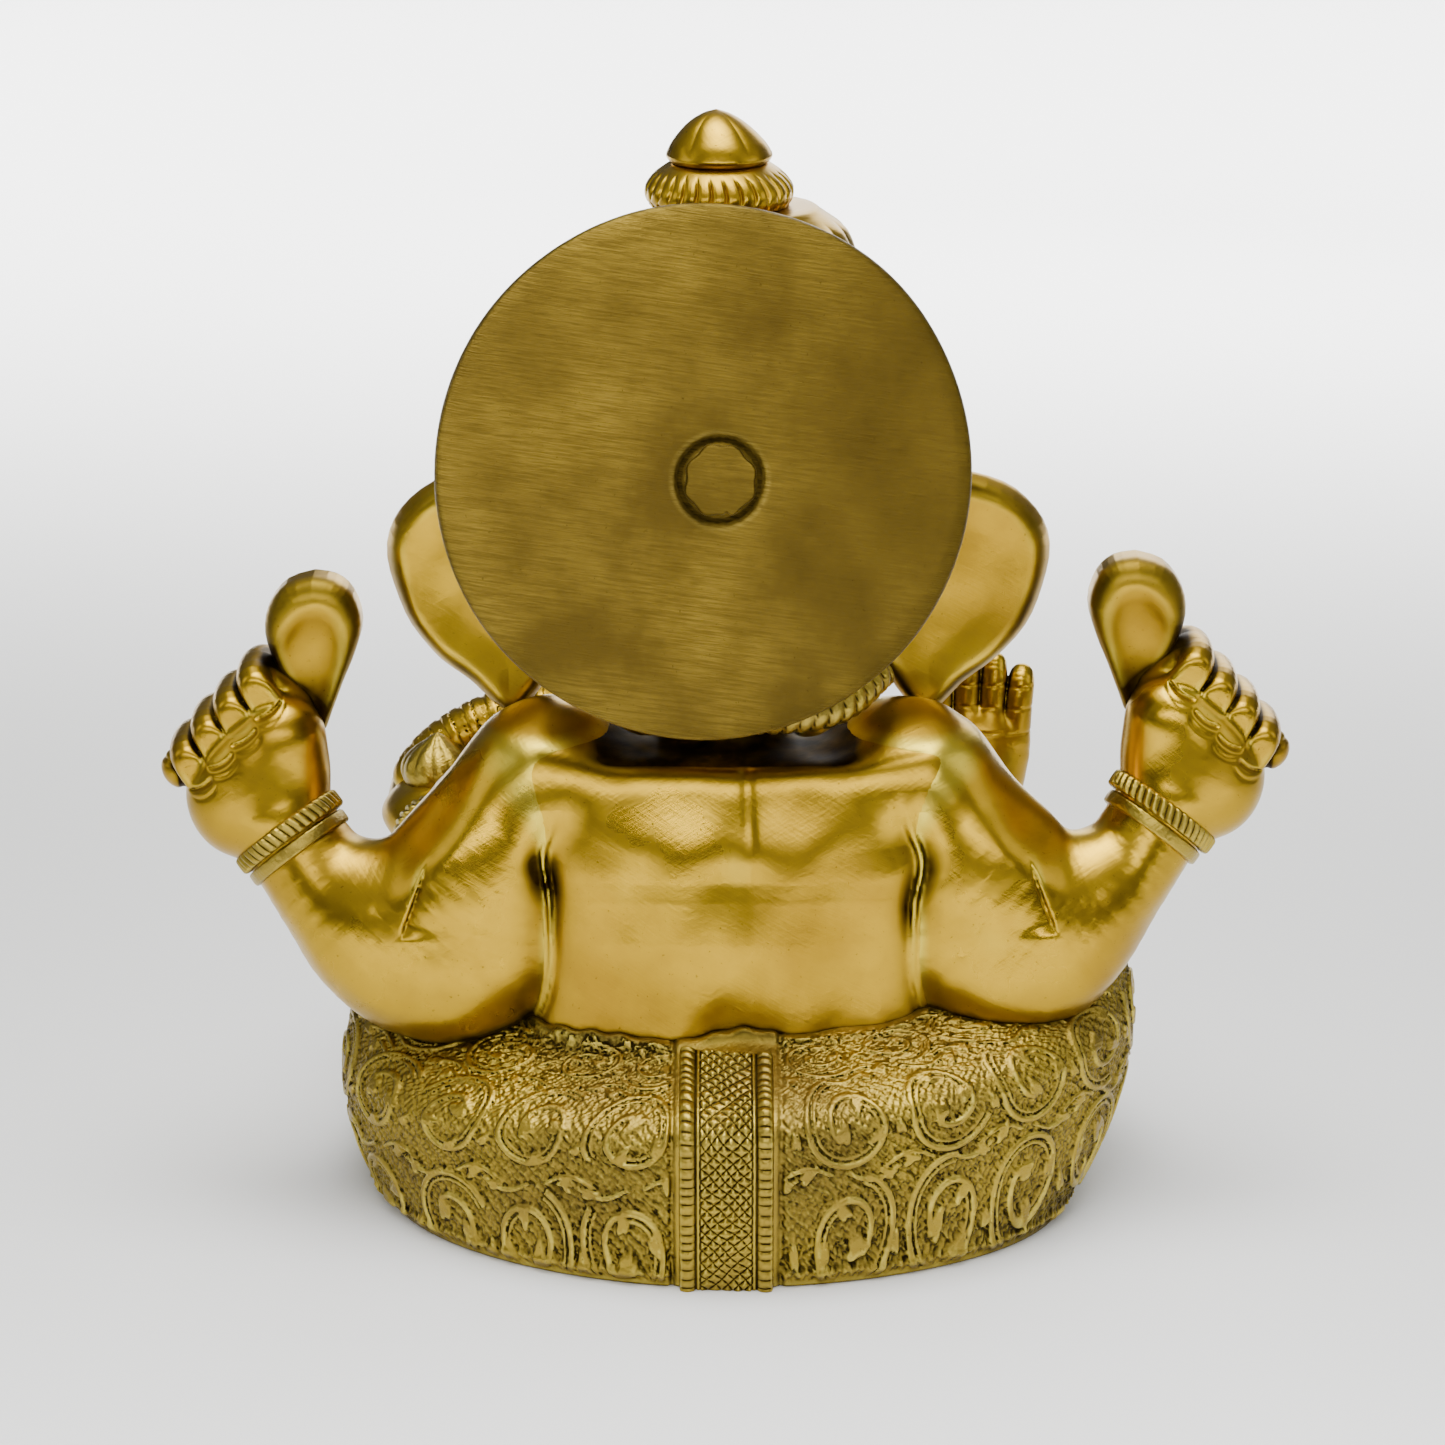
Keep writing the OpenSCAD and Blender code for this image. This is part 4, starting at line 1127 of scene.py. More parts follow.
def brass(name, deep, body, bright, mottle, rough, grain_bump, brushed=0.0, punched=0.0):
    """Cast brass: dark in its hollows, partly patina and partly painted shade, rubbed bright on what stands
    out, with a mottled, scratched skin.
    """
    material = bpy.data.materials.new(name)
    material.use_nodes = True
    nodes, links = material.node_tree.nodes, material.node_tree.links
    shader = nodes["Principled BSDF"]
    shader.inputs["Metallic"].default_value = 1.0

    def node(kind, **settings):
        made = nodes.new(kind)
        for key, value in settings.items():
            setattr(made, key, value)
        return made

    def mix(a, b, factor, kind="MIX"):
        m = node("ShaderNodeMix", data_type="RGBA", blend_type=kind)
        for socket, value in ((m.inputs[6], a), (m.inputs[7], b), (m.inputs[0], factor)):
            if hasattr(value, "links"):
                links.new(value, socket)
            else:
                socket.default_value = value
        return m.outputs[2]

    def ranged(value, low, high, to_low=0.0, to_high=1.0):
        m = node("ShaderNodeMapRange")
        links.new(value, m.inputs[0])
        for i, number in enumerate((low, high, to_low, to_high)):
            m.inputs[i + 1].default_value = number
        return m.outputs[0]

    def combined(kind, a, b):
        m = node("ShaderNodeMath", operation=kind)
        for socket, value in ((m.inputs[0], a), (m.inputs[1], b)):
            if hasattr(value, "links"):
                links.new(value, socket)
            else:
                socket.default_value = value
        return m.outputs[0]

    def noise(scale, detail=4.0, roughness=0.55, stretch=(1, 1, 1), tilt=(0, 0, 0)):
        turning = node("ShaderNodeMapping")
        turning.inputs["Rotation"].default_value = tilt
        links.new(place, turning.inputs["Vector"])
        mapping = node("ShaderNodeMapping")
        mapping.inputs["Scale"].default_value = stretch
        links.new(turning.outputs["Vector"], mapping.inputs["Vector"])
        n = node("ShaderNodeTexNoise")
        n.inputs["Scale"].default_value = scale
        n.inputs["Detail"].default_value = detail
        n.inputs["Roughness"].default_value = roughness
        links.new(mapping.outputs["Vector"], n.inputs["Vector"])
        return n.outputs["Fac"]

    place = node("ShaderNodeTexCoord").outputs["Object"]
    recess = node("ShaderNodeAttribute", attribute_name="recess").outputs["Fac"]
    wear = node("ShaderNodeAttribute", attribute_name="wear").outputs["Fac"]

    patches = noise(38, 5)
    blotches = noise(190, 3, 0.5)
    specks = noise(1500, 3, 0.6)

    colour = mix(body, mottle, ranged(patches, 0.42, 0.66))
    colour = mix(colour, bright,
                 combined("MULTIPLY", ranged(wear, 0.15, 0.9), ranged(blotches, 0.3, 0.62, 0.45, 1.0)))
    colour = mix(colour, mottle, ranged(blotches, 0.56, 0.74, 0.0, 0.35))
    # darkened where recessed or enclosed: partly the patina brass keeps in its hollows, partly painted shade
    # from nearby parts and the disc
    patina_and_shade = combined("MULTIPLY", ranged(recess, 0.30, 0.70), ranged(blotches, 0.25, 0.6, 0.8, 1.0))
    colour = mix(colour, deep, patina_and_shade)
    pits = ranged(specks, 0.66, 0.74)
    colour = mix(colour, deep, combined("MULTIPLY", pits, 0.55))
    links.new(colour, shader.inputs["Base Color"])

    soft = ranged(patches, 0.3, 0.7, rough - 0.02, rough + 0.07)
    roughness = combined("ADD", soft, ranged(recess, 0.2, 0.8, 0.0, 0.25))
    links.new(roughness, shader.inputs["Roughness"])

    scratch_a = noise(240, 3, 0.6, stretch=(1, 1, 9), tilt=(0.3, 0.5, 0.2))
    scratch_b = noise(260, 3, 0.6, stretch=(8, 1, 1.5), tilt=(0.2, 0.9, 0.6))
    skin = combined("ADD", scratch_a, scratch_b)
    skin = combined("ADD", skin, combined("MULTIPLY", pits, -0.8))
    height = skin
    if punched:
        height = combined("ADD", height, combined("MULTIPLY", noise(1150, 2, 0.5), punched))
    if brushed:
        lines = noise(640, 4, 0.75, stretch=(0.2, 1, 4.8), tilt=(0, math.radians(9), 0))
        wide = noise(70, 3, 0.6, stretch=(0.5, 1, 3.0), tilt=(0, math.radians(14), 0))
        split = node("ShaderNodeSeparateXYZ")
        links.new(place, split.inputs[0])
        # darker towards the top and towards the figure's right side
        darker_high_on_right = combined("MULTIPLY", ranged(split.outputs["X"], 0.012, -0.03),
                         ranged(split.outputs["Z"], 0.09, 0.12, 0.2, 1.0))
        colour = mix(colour, mottle, ranged(noise(16, 2), 0.42, 0.62, 0.0, 0.7))
        colour = mix(colour, deep, combined("MULTIPLY", darker_high_on_right, 0.45))
        height = combined("ADD", combined("MULTIPLY", lines, 1.0 + brushed),
                          combined("MULTIPLY", wide, 0.6))
        colour = mix(colour, mottle, ranged(lines, 0.42, 0.60, 0.0, 0.75))
        links.new(colour, shader.inputs["Base Color"])
    bump = node("ShaderNodeBump")
    bump.inputs["Strength"].default_value = grain_bump
    bump.inputs["Distance"].default_value = BUMP_DEPTH
    links.new(height, bump.inputs["Height"])
    links.new(bump.outputs["Normal"], shader.inputs["Normal"])
    return material


WORN = brass("worn_brass", (0.016, 0.007, 0.001, 1), (0.44, 0.272, 0.015, 1), (0.58, 0.45, 0.05, 1),
             (0.32, 0.186, 0.012, 1), 0.27, 0.10)
ENGRAVED = brass("engraved_brass", (0.022, 0.014, 0.003, 1), (0.34, 0.238, 0.030, 1), (0.62, 0.49, 0.08, 1),
                 (0.21, 0.144, 0.028, 1), 0.31, 0.3, punched=1.6)
SANDED = brass("sanded_brass", (0.02, 0.012, 0.002, 1), (0.20, 0.134, 0.018, 1), (0.40, 0.29, 0.06, 1),
               (0.085, 0.055, 0.009, 1), 0.36, 0.5, brushed=1.0)
FINISH = {"worn_brass": WORN, "engraved_brass": ENGRAVED, "sanded_brass": SANDED}


DULL, GROUND_DULL = 0.26, 0.31           # added recess, for skins that were left as cast


def finish(piece, node, slot="worn_brass"):
    return finish_piece(piece, node, FINISH[slot])


# ---------------------------------------------------------------- lap, feet and sash

def dark_ground(p):
    """The punched ground between the scrolls keeps its dark skin, and the raised lines are rubbed clean."""
    return GROUND_DULL * (1 - step(lap_relief(p), 0.12, 0.42))


def make_lap():
    finish(sculpt("lap_skin", lap_field, (-73, -67, -1), (69, 51, 46), lap_field, 0.88, 2.0,
                  grime_and_shade=dark_ground),
           "lap_casting", "engraved_brass")


def sash_surface(x, z):
    """Where the cloth's back wall stands behind a place seen from behind, and its outward direction."""
    low, high = np.full(len(x), 20.0), np.full(len(x), 62.0)
    for _ in range(24):
        y = (low + high) / 2
        inside = lap_raw(np.stack([x, y, z], 1)) < 0
        low, high = np.where(inside, y, low), np.where(inside, high, y)
    points = np.stack([x, low, z], 1)
    _, grad = slope(lap_raw, points)
    return points, grad / np.linalg.norm(grad, axis=1)[:, None]


def sash_height(x, run):
    """The sash's face: crosshatched diamonds between two ribbed cords."""
    across = x - SASH_X
    beside = np.abs(across)
    pitch = 2.05
    drift = 0.22 * np.sin(run * 0.9 + across * 0.5) + 0.16 * np.sin(run * 0.37 - across * 0.8 + 2)
    one = np.abs(((across + run + drift) / pitch) % 1 - 0.5) * 2
    two = np.abs(((across - run + 1.3 * drift) / pitch) % 1 - 0.5) * 2
    depth = 0.62 - 0.3 * step(np.sin(run * 0.21 + across * 0.35 + 1.0), 0.55, 0.95)
    diamonds = depth * np.clip(1.5 * np.minimum(one, two), 0, 1) ** 0.6
    cord = np.sqrt(np.clip(1 - ((beside - 6.15) / 1.35) ** 2, 0, 1))
    ribs = 0.66 + 0.34 * np.abs(np.cos(math.pi * (run + 0.25 * np.sin(run * 0.7)) / 1.62)) ** 0.7
    lines = np.exp(-((beside - 4.35) / 0.3) ** 2)
    field_part = diamonds * (1 - step(beside, 3.7, 4.1))
    return 0.45 + field_part + 1.15 * cord * ribs + 0.35 * lines


def make_sash():
    spacing = 0.17
    columns = int(2 * SASH_HALF / spacing)
    rows = int(46 / spacing)
    x = np.linspace(SASH_X - SASH_HALF, SASH_X + SASH_HALF, columns)
    middle_z = np.linspace(0.15, SASH_TOP, 160)
    spine, _ = sash_surface(np.full(160, SASH_X), middle_z)
    run = np.concatenate([[0], np.cumsum(np.linalg.norm(np.diff(spine, axis=0), axis=1))])
    even = np.linspace(0, run[-1], rows)
    z = np.interp(even, run, middle_z)
    gx, gz = np.tile(x, rows), np.repeat(z, columns)
    along = np.repeat(even, columns)
    points, out = sash_surface(gx, gz)
    edge = step(SASH_HALF - np.abs(gx - SASH_X), 0.0, 0.5)
    edge = edge * (0.35 + 0.65 * step(run[-1] - along, 0.0, 1.6))
    top = points + out * ((sash_height(gx, along) + 0.6) * edge - 0.6)[:, None]
    bottom = points - out * 1.6
    top[:, 2] = np.maximum(top[:, 2], 0.05)
    bottom[:, 2] = np.maximum(bottom[:, 2], 0.05)
    outer, inner = top.reshape(rows, columns, 3), bottom.reshape(rows, columns, 3)[:, ::-1]
    loop = np.concatenate([outer, inner], 1).reshape(-1, 3)
    wide = 2 * columns
    quads = grid_faces(rows, wide)
    j = np.arange(columns - 1)
    ends = []
    for row, turn in ((0, 1), (rows - 1, -1)):
        cap = np.stack([j, j + 1, wide - 2 - j, wide - 1 - j], 1) + row * wide
        ends.append(cap[:, ::turn])
    piece = new_mesh("back_sash_cloth", loop, quads[:, ::-1], *ends)
    bend = grid_relief(loop, rows, wide, False, 2)
    set_attribute(piece, "recess", np.clip(0.40 - bend * 10, 0, 1))
    set_attribute(piece, "wear", np.clip(bend * 7, 0, 1))
    finish(piece, "back_sash", "engraved_brass")


def make_feet():
    around = lambda p: np.minimum(lap_raw(p), np.minimum(left_foot_shape(p), right_foot_shape(p)))
    floor_cut = lambda field: lambda p: smax(field(p), -p[:, 2] + 0.1, 0.3)
    finish(sculpt("left_foot_skin", floor_cut(left_foot_shape), (-42, -58, 8), (6, -34, 38), around, 0.72),
           "left_foot")
    finish(sculpt("right_foot_skin", floor_cut(right_foot_shape), (0, -60, 0), (48, -36, 22), around, 0.72),
           "right_foot")


def wire_loop(centre, axis, radius, wire, texture, columns=240, rows=16):
    """A ring of wire with a texture round its length."""
    centre, axis = np.array(centre, float), np.array(axis, float)
    axis = axis / np.linalg.norm(axis)
    side = np.cross(axis, vec(0.1, 0.3, 1.0))
    side /= np.linalg.norm(side)
    other = np.cross(axis, side)
    angle = np.linspace(0, 2 * math.pi, columns, endpoint=False)
    out = np.cos(angle)[:, None] * side + np.sin(angle)[:, None] * other
    points = []
    for t in np.linspace(0, 2 * math.pi, rows, endpoint=False):
        lift = wire + texture(angle * radius, wire * math.cos(t))
        points.append(centre + out * (radius + lift * math.sin(t))[:, None]
                      + axis * (lift * math.cos(t))[:, None])
    return np.concatenate(points), grid_faces(rows, columns, wrap_rows=True), (rows, columns)


def make_anklets():
    rope = rope_texture(1.9, 0.3)
    left = wire_loop([-1, -43.8, 19.3], [1, -0.05, -0.12], 9.9, 1.35, rope)
    finish(join_grids("left_anklet_rope", [left]), "left_anklet", "engraved_brass")
    points, faces, shape = wire_loop([6, -46.4, 9.9], [1, -0.05, 0], 10.2, 1.35, rope)
    points[:, 2] = np.maximum(points[:, 2], 0.05)
    finish(join_grids("right_anklet_rope", [(points, faces, shape)]), "right_anklet", "engraved_brass")


# ---------------------------------------------------------------- torso and what it wears

def never_polished(p):
    """A duller skin, never filed or polished."""
    return np.full(len(p), DULL)


def painted_shadow_under_disc(p):
    """Painted shadow: the upper back is darkened in the gap under the disc, where the disc's shadow falls.
    """
    across = 1 - step(np.abs(p[:, 0] + 0.5), 17, 25)
    return step(p[:, 2], 77.1, 78.1) * across * step(p[:, 1], -4, 2) * (1 - step(p[:, 1], 19.0, 21.5))


def make_torso():
    low, high = REACH["torso"]
    low = (low[0], low[1], TORSO_FOOT)
    finish(sculpt("torso_skin", casting("torso", torso_extra), low, high, body_field,
                  grime_and_shade=painted_shadow_under_disc), "torso")


def laid_on(field, path, gap):
    """A path drawn onto a surface, its middle held at a gap from it."""
    path = np.array(path, float)
    for _ in range(6):
        here, grad = slope(field, path)
        path = path - ((here - gap) / np.maximum((grad ** 2).sum(1), 0.3))[:, None] * grad
    return path


def dressed_body(p):
    return np.minimum(np.minimum(torso_raw(p), front_left_arm_raw(p)), lap_raw(p) + 0.5)


def make_belly_belt():
    arc = [[-1 + 34 * math.cos(t), -6 + 35 * math.sin(t), 38.8]
           for t in np.radians(np.linspace(200, 340, 15))]
    path = laid_on(dressed_body, even_path(arc, 0.5), 0.9)
    grids = [tube(path, 1.9, 16, twist=1.5, strands=2)]
    clasp = laid_on(dressed_body, [[-1, -40.5, 39.0]], 1.4)[0]
    grids.append(bead(clasp, (3.0, 1.8, 2.8), 14, 20))
    for i in range(8):
        t = 2 * math.pi * i / 8
        grids.append(bead(clasp + vec(4.1 * math.cos(t), 0.5, 3.7 * math.sin(t)), (1.45, 1.2, 1.45)))
    finish(join_grids("belly_belt_rope", grids), "belly_belt", "engraved_brass")


def make_sacred_thread():
    route = [[19, -8, 80], [21, -15, 70], [22, -26, 62], [19, -37, 52], [8, -42.5, 47], [-8, -43, 46],
             [-22, -36, 46], [-30, -22, 52]]
    path = laid_on(torso_raw, even_path(route, 0.45), 0.7)
    finish(join_grids("sacred_thread_cord", [tube(path, 1.35, 14, twist=2.1, strands=3)]),
           "sacred_thread", "engraved_brass")


def make_necklace():
    route = [[16.5, 2, 84], [16, -8, 79.5], [9.5, -14.5, 75], [0, -17, 73], [-9.5, -14.5, 75],
             [-16, -8, 79.5],
             [-16.5, 2, 84]]
    chest = lambda p: smin(torso_raw(p), head_raw(p), 3.0)
    grids = []
    lower = [vec(*q) - vec(0, 0, 4.4) for q in route[1:-1]]
    for path, size in ((even_path(route, 2.6), 1.5), (even_path(lower, 2.2), 1.2)):
        for centre in laid_on(chest, path, 0.8 * size):
            grids.append(bead(centre, (size, size, size)))
    pendant = laid_on(chest, [[0, -18.5, 66.5]], 1.0)[0]
    grids.append(bead(pendant, (3.2, 1.7, 3.8), 14, 20))
    for i in range(9):
        t = 2 * math.pi * i / 9
        grids.append(bead(pendant + vec(3.5 * math.cos(t), 0.4, 4.1 * math.sin(t)), (0.95, 0.9, 0.95)))
    finish(join_grids("necklace_beads", grids), "necklace", "engraved_brass")


def make_nape_roll():
    route = [[24, 10, 95], [16, 18, 91.5], [1, 22.5, 88.0], [-16, 20, 87.5], [-25, 11, 91.5]]
    path = even_path(route, 0.35)
    # painted shadow: 0.7 of recess all over darkens the roll as if in the disc's shadow
    finish(join_grids("nape_roll_hair", [tube(path, 3.3, 20, twist=1.5, strands=2)], 0.7), "nape_roll",
           "engraved_brass")


# ---------------------------------------------------------------- arms, hands and bangles

def make_arms():
    for name in ("rear_left_arm", "rear_right_arm", "front_left_arm", "front_right_arm"):
        finish(sculpt(name + "_skin", casting(name), *REACH[name], body_field), name)


def make_hands():
    around_left = lambda p: smin(rear_hand_shape(p), grip_shape(p), 0.3)
    around_right = mirrored(around_left)
    low, high = (57, -16, 55), (94, 18, 107)
    flip = lambda a, b: ((-b[0] - 2, a[1], a[2] + 2), (-a[0], b[1], b[2] + 5))
    finish(sculpt("rear_left_hand_skin", rear_hand_shape, low, high, around_left, 0.7), "rear_left_hand")
    finish(sculpt("noose_grip_skin", grip_shape, low, high, around_left, 0.7, grime_and_shade=never_polished),
           "noose_grip")
    finish(sculpt("rear_right_hand_skin", mirrored(rear_hand_shape), *flip(low, high), around_right, 0.7),
           "rear_right_hand")
    finish(sculpt("goad_grip_skin", mirrored(grip_shape), *flip(low, high), around_right, 0.7,
                  grime_and_shade=never_polished), "goad_grip")
    finish(sculpt("front_left_hand_skin", front_left_hand_shape, (36, -60, 40), (62, -28, 66),
                  front_left_hand_shape, 0.7), "front_left_hand")
    finish(sculpt("front_right_hand_skin", front_right_hand_shape, (-60, -45, 46), (-32, -28, 82),
                  front_right_hand_shape, 0.7), "front_right_hand")


def ribbed(pitch, depth, lean=0.35):
    """Rounded ribs slanting across a band, with a plain edge on each side."""
    return lambda s, across: depth * (np.abs(np.cos(math.pi * (s + lean * across) / pitch)) - 0.6)


def smooth_band(s, across):
    return np.zeros(len(s))


def make_bangles():
    left_wrist = lambda p: smin(limb(p, REAR_FORE), rear_hand_shape(p), 1.0)
    right_wrist = lambda p: smin(rear_right_arm_raw(p), mirrored(rear_hand_shape)(p), 1.0)
    axis = vec(7, -3, 9) / np.linalg.norm([7, -3, 9])
    for side, field, middle, name in ((1, left_wrist, vec(69.4, 9, 61.6), "rear_left_bangles"),
                                      (-1, right_wrist, vec(-70.4, 9, 65.0), "rear_right_bangles")):
        way = axis * vec(side, 1, 1)
        upper = band_rows(field, middle + way * 1.3, way, 1.5, 1.0, ribbed(1.35, 0.5), columns=420)
        lower = band_rows(field, middle - way * 1.65, way, 1.15, 0.8, smooth_band)
        finish(join_grids(name + "_bands", [upper, lower], 0.2), name, "engraved_brass")
    front = (("front_left_bangle", lambda p: np.minimum(front_left_arm_raw(p), front_left_hand_shape(p)),
              [48.8, -32, 46.6], [0.15, -1, 0.02]),
             ("front_right_bangle", lambda p: np.minimum(front_right_arm_raw(p), front_right_hand_shape(p)),
              [-45.3, -31.5, 50.2], [-0.05, -0.85, 0.5]))
    for name, field, centre, way in front:
        way = np.array(way) / np.linalg.norm(way)
        upper = band_rows(field, np.array(centre) + way * 1.5, way, 1.4, 1.3, ribbed(1.3, 0.45),
                          columns=360)
        lower = band_rows(field, np.array(centre) - way * 1.4, way, 1.2, 1.1, smooth_band)
        finish(join_grids(name + "_bands", [upper, lower]), name, "engraved_brass")


def make_sweet():
    profile = curve_points([[0, 0], [3.2, 0.3], [5.4, 1.9], [6.2, 4.2], [5.7, 6.4], [4.1, 8.3], [2.3, 9.6],
                               [1.1, 10.6], [0, 11.2]], 8)
    pleats = lambda r, h, a: (r * (1 + 0.055 * np.abs(np.sin(5.5 * a + 0.22 * h)) * step(h, 2, 6)), h)
    finish(turned_piece("sweet_dumpling", profile, lambda q: q + SWEET_PLACE, 180, pleats), "sweet",
           "engraved_brass")


# ---------------------------------------------------------------- head

def head_group(p):
    f = np.minimum(head_raw(p), trunk_raw(p))
    return np.minimum(f, np.minimum(left_ear_raw(p), right_ear_raw(p)))


def make_head():
    for name, extra in (("head", head_extra), ("trunk", None), ("left_ear", None), ("right_ear", None)):
        dull = never_polished if "ear" in name else None
        finish(sculpt(name + "_skin", casting(name, extra), *REACH[name], head_group, 0.9, grime_and_shade=dull),
               name)


def tusk(side, length):
    """A tusk with a ferrule at its root; the left one is broken short."""
    path = [[side * 10, -24, 101, 3.4], [side * 12.5, -35, 97, 3.1],
            [side * (12.5 + length * 0.16), -35 - length * 0.8, 97 - length * 0.05,
             1.5 if length > 12 else 2.4]]

    def field(p):
        f, along, run = limb(p, path, 8, with_length=True)
        rings = 0.35 * np.exp(-((along - 8.2) / 0.6) ** 2) + 0.35 * np.exp(-((along - 10.4) / 0.6) ** 2)
        return f - rings
    return field


def make_tusks():
    finish(sculpt("left_tusk_skin", tusk(1, 9), (4, -48, 90), (22, -18, 107), None, 0.6), "left_tusk")
    finish(sculpt("right_tusk_skin", tusk(-1, 16), (-24, -54, 90), (-4, -18, 107), None, 0.6), "right_tusk")


# ---------------------------------------------------------------- crown

CROWN_X, CROWN_Y = 0.5, -1.0
CROWN_BASE, CROWN_TOP = 131.0, 163.0
CROWN_R, COLLAR_R, BUD_R = 25.0, 11.6, 8.2
COLLAR_H = 7.0


def on_crown_axis(q):
    return q + vec(CROWN_X, CROWN_Y, 0)


def crown_shape(r, h, a):
    """Upright lotus petals round the lower tier, beads between the tiers and flutes on the upper tier."""
    z = h - CROWN_BASE
    petals = np.abs(((a * 9 / math.pi) % 2) - 1)
    tip = 1.5 + 11.0 * np.sqrt(np.clip(1 - petals ** 1.6, 0, 1))
    outline = np.exp(-((z - tip) / 0.55) ** 2)
    vein = np.exp(-((1 - petals) / 0.07) ** 2) * (z < tip - 1.5) * (z > 2)
    lower = (0.75 * outline - 0.35 * vein) * (1 - step(z, 12.5, 14))
    beads = 0.8 * np.abs(np.cos(a * 24)) * np.exp(-((z - 19.2) / 0.9) ** 2)
    flutes = 0.55 * np.abs(np.cos(a * 11)) * step(z, 21, 22.5) * (1 - step(z, 28, 30.5))
    return r + (lower + beads + flutes) * step(r, 4, 9), h


def make_crown():
    profile = dense_profile(curve_points([
        [0, CROWN_BASE], [CROWN_R - 1.2, CROWN_BASE], [CROWN_R - 1.4, CROWN_BASE + 6],
        [CROWN_R - 3, CROWN_BASE + 11], [CROWN_R - 5.4, CROWN_BASE + 15.5],
        [CROWN_R - 8, CROWN_BASE + 18.5],
        [CROWN_R - 8.2, CROWN_BASE + 20], [CROWN_R - 7.2, CROWN_BASE + 22],
        [CROWN_R - 7.4, CROWN_BASE + 25],
        [CROWN_R - 9, CROWN_BASE + 28.5],
        [CROWN_R - 12, CROWN_BASE + 31], [CROWN_R - 14.5, CROWN_TOP], [0, CROWN_TOP]], 5), 0.35)
    rise = lambda q: step(q[:, 2], CROWN_BASE + 8, CROWN_BASE + 24)[:, None]
    lean = lambda q: on_crown_axis(q) - vec(3.2, 0, 0) * rise(q)
    finish(turned_piece("crown_dome", profile, lean, 540, behind_disc(crown_shape)), "crown")


def behind_disc(shape):
    """Keeps a turned piece in front of the halo disc, which stands close behind it."""
    def kept(r, h, a):
        r, h = shape(r, h, a)
        points = on_crown_axis(np.stack([r * np.cos(a), r * np.sin(a), h], 1))
        past = halo_local(points)[:, 2] + HALO_T / 2 + 0.2
        within = np.hypot(*halo_local(points)[:, :2].T) < HALO_R + 3
        lean = HALO_TURN[:, 2]
        toward = np.cos(a) * lean[0] + np.sin(a) * lean[1]
        cut = np.where((past > 0) & within & (toward > 0.05), past / np.maximum(toward, 0.05), 0)
        return np.maximum(r - cut, 0.3), h
    return kept


def make_crown_roll():
    lean = rotation(-8, 0)
    rope = rope_texture(3.1, 0.45, 0.9)
    points, faces, shape = wire_loop([0, 0, 0], [0, 0, 1], CROWN_R - 0.5, 2.8, rope, 520, 24)
    points = points @ lean.T + vec(CROWN_X, CROWN_Y, CROWN_BASE - 1)
    past = np.maximum(halo_local(points)[:, 2] + HALO_T / 2 + 0.2, 0)
    points = points - past[:, None] * HALO_TURN[:, 2]
    finish(join_grids("crown_roll_rope", [(points, faces, shape)]), "crown_roll", "engraved_brass")


def make_collar():
    """A domed collar: a row of crescent cuts round its slope and teeth round its foot."""
    profile = curve_points([[0, 0], [COLLAR_R - 2.0, 0], [COLLAR_R - 0.5, 0.7], [COLLAR_R, 1.9],
                            [COLLAR_R - 0.25, 3.3], [COLLAR_R - 1.5, 5], [COLLAR_R - 3.4, 6.4],
                            [COLLAR_R - 4.4, 6.7], [COLLAR_R - 5.4, 6.0], [0, 6.0]], 7)

    def cut(r, h, a):
        turn = a * 30 / (2 * math.pi)
        bend = turn + 0.14 * (h - 3.2) ** 2 * 0.35
        crescent = np.clip(np.cos(2 * math.pi * bend), -0.5, 1) ** 3
        band = np.exp(-(((h - 3.6) / 1.7) ** 4))
        teeth = np.clip(np.cos(2 * math.pi * turn + 1), 0, 1) * (1 - step(h, 0.6, 1.5))
        keep = step(r, COLLAR_R - 4, COLLAR_R - 2.5)
        return r - (0.62 * crescent * band + 0.6 * teeth) * keep, h

    place = lambda q: on_crown_axis(q + vec(0, 0, CROWN_TOP))
    finish(turned_piece("crown_collar_flutes", profile, place, 720, cut), "crown_collar")


def make_bud():
    base = CROWN_TOP + COLLAR_H
    profile = curve_points([[0, -0.6], [BUD_R - 2.6, -0.6], [BUD_R - 0.8, -0.2], [BUD_R, 0.6],
                            [BUD_R - 0.1, 1.4], [BUD_R - 1.5, 3.3], [BUD_R - 3.6, 5.6], [BUD_R - 5.9, 7.2],
                            [0, DESIGN_H - base]], 7)

    def filed(r, h, a):
        """Filed by hand into a few soft flats, with the tip a little to the figure's left."""
        flats = np.cos(((a * 5 / (2 * math.pi) + 0.25) % 1 - 0.5) * 2 * math.pi / 5)
        soft = (1 - np.cos(math.pi / 5) / np.maximum(flats, 0.6)) * step(h, 1, 3.5)
        return r * (1 + 0.3 * soft * (r > 1)), h

    def place(q):
        out = on_crown_axis(q + vec(0, 0, base))
        out[:, 0] += 0.5 * step(q[:, 2], 1, 8)
        return out

    finish(turned_piece("crown_bud_filed", profile, place, 240, filed), "crown_bud")


def make_jewel():
    """An upright leaf on the crown's front, with a raised rim and a ridge."""
    lean = rotation(90 - 9, 0)
    base = vec(CROWN_X, CROWN_Y - CROWN_R + 1.4, CROWN_BASE)

    def field(p):
        q = (p - base) @ lean
        x, y = np.abs(q[:, 0]) / 0.72, q[:, 1] - 7.5
        flat = (np.maximum(np.hypot(x + 6, y) - 12, -5.5 - y)) * 0.72
        slab = smax(flat, np.abs(q[:, 2] - 1.1) - 1.1, 0.6)
        rim = np.hypot(flat + 0.9, q[:, 2] - 2.3) - 0.75
        ridge = np.hypot(q[:, 0], q[:, 2] - 1.9) - 0.7 + 0.5 * step(np.abs(y), 3, 7)
        return smin(smin(slab, rim, 0.4), smax(ridge, flat + 1.2, 0.4), 0.5)

    finish(sculpt("crown_jewel_leaf", field, (-8, -32, 128), (9, -18, 154), None, 0.6), "crown_jewel",
           "engraved_brass")


# ---------------------------------------------------------------- halo and rivet

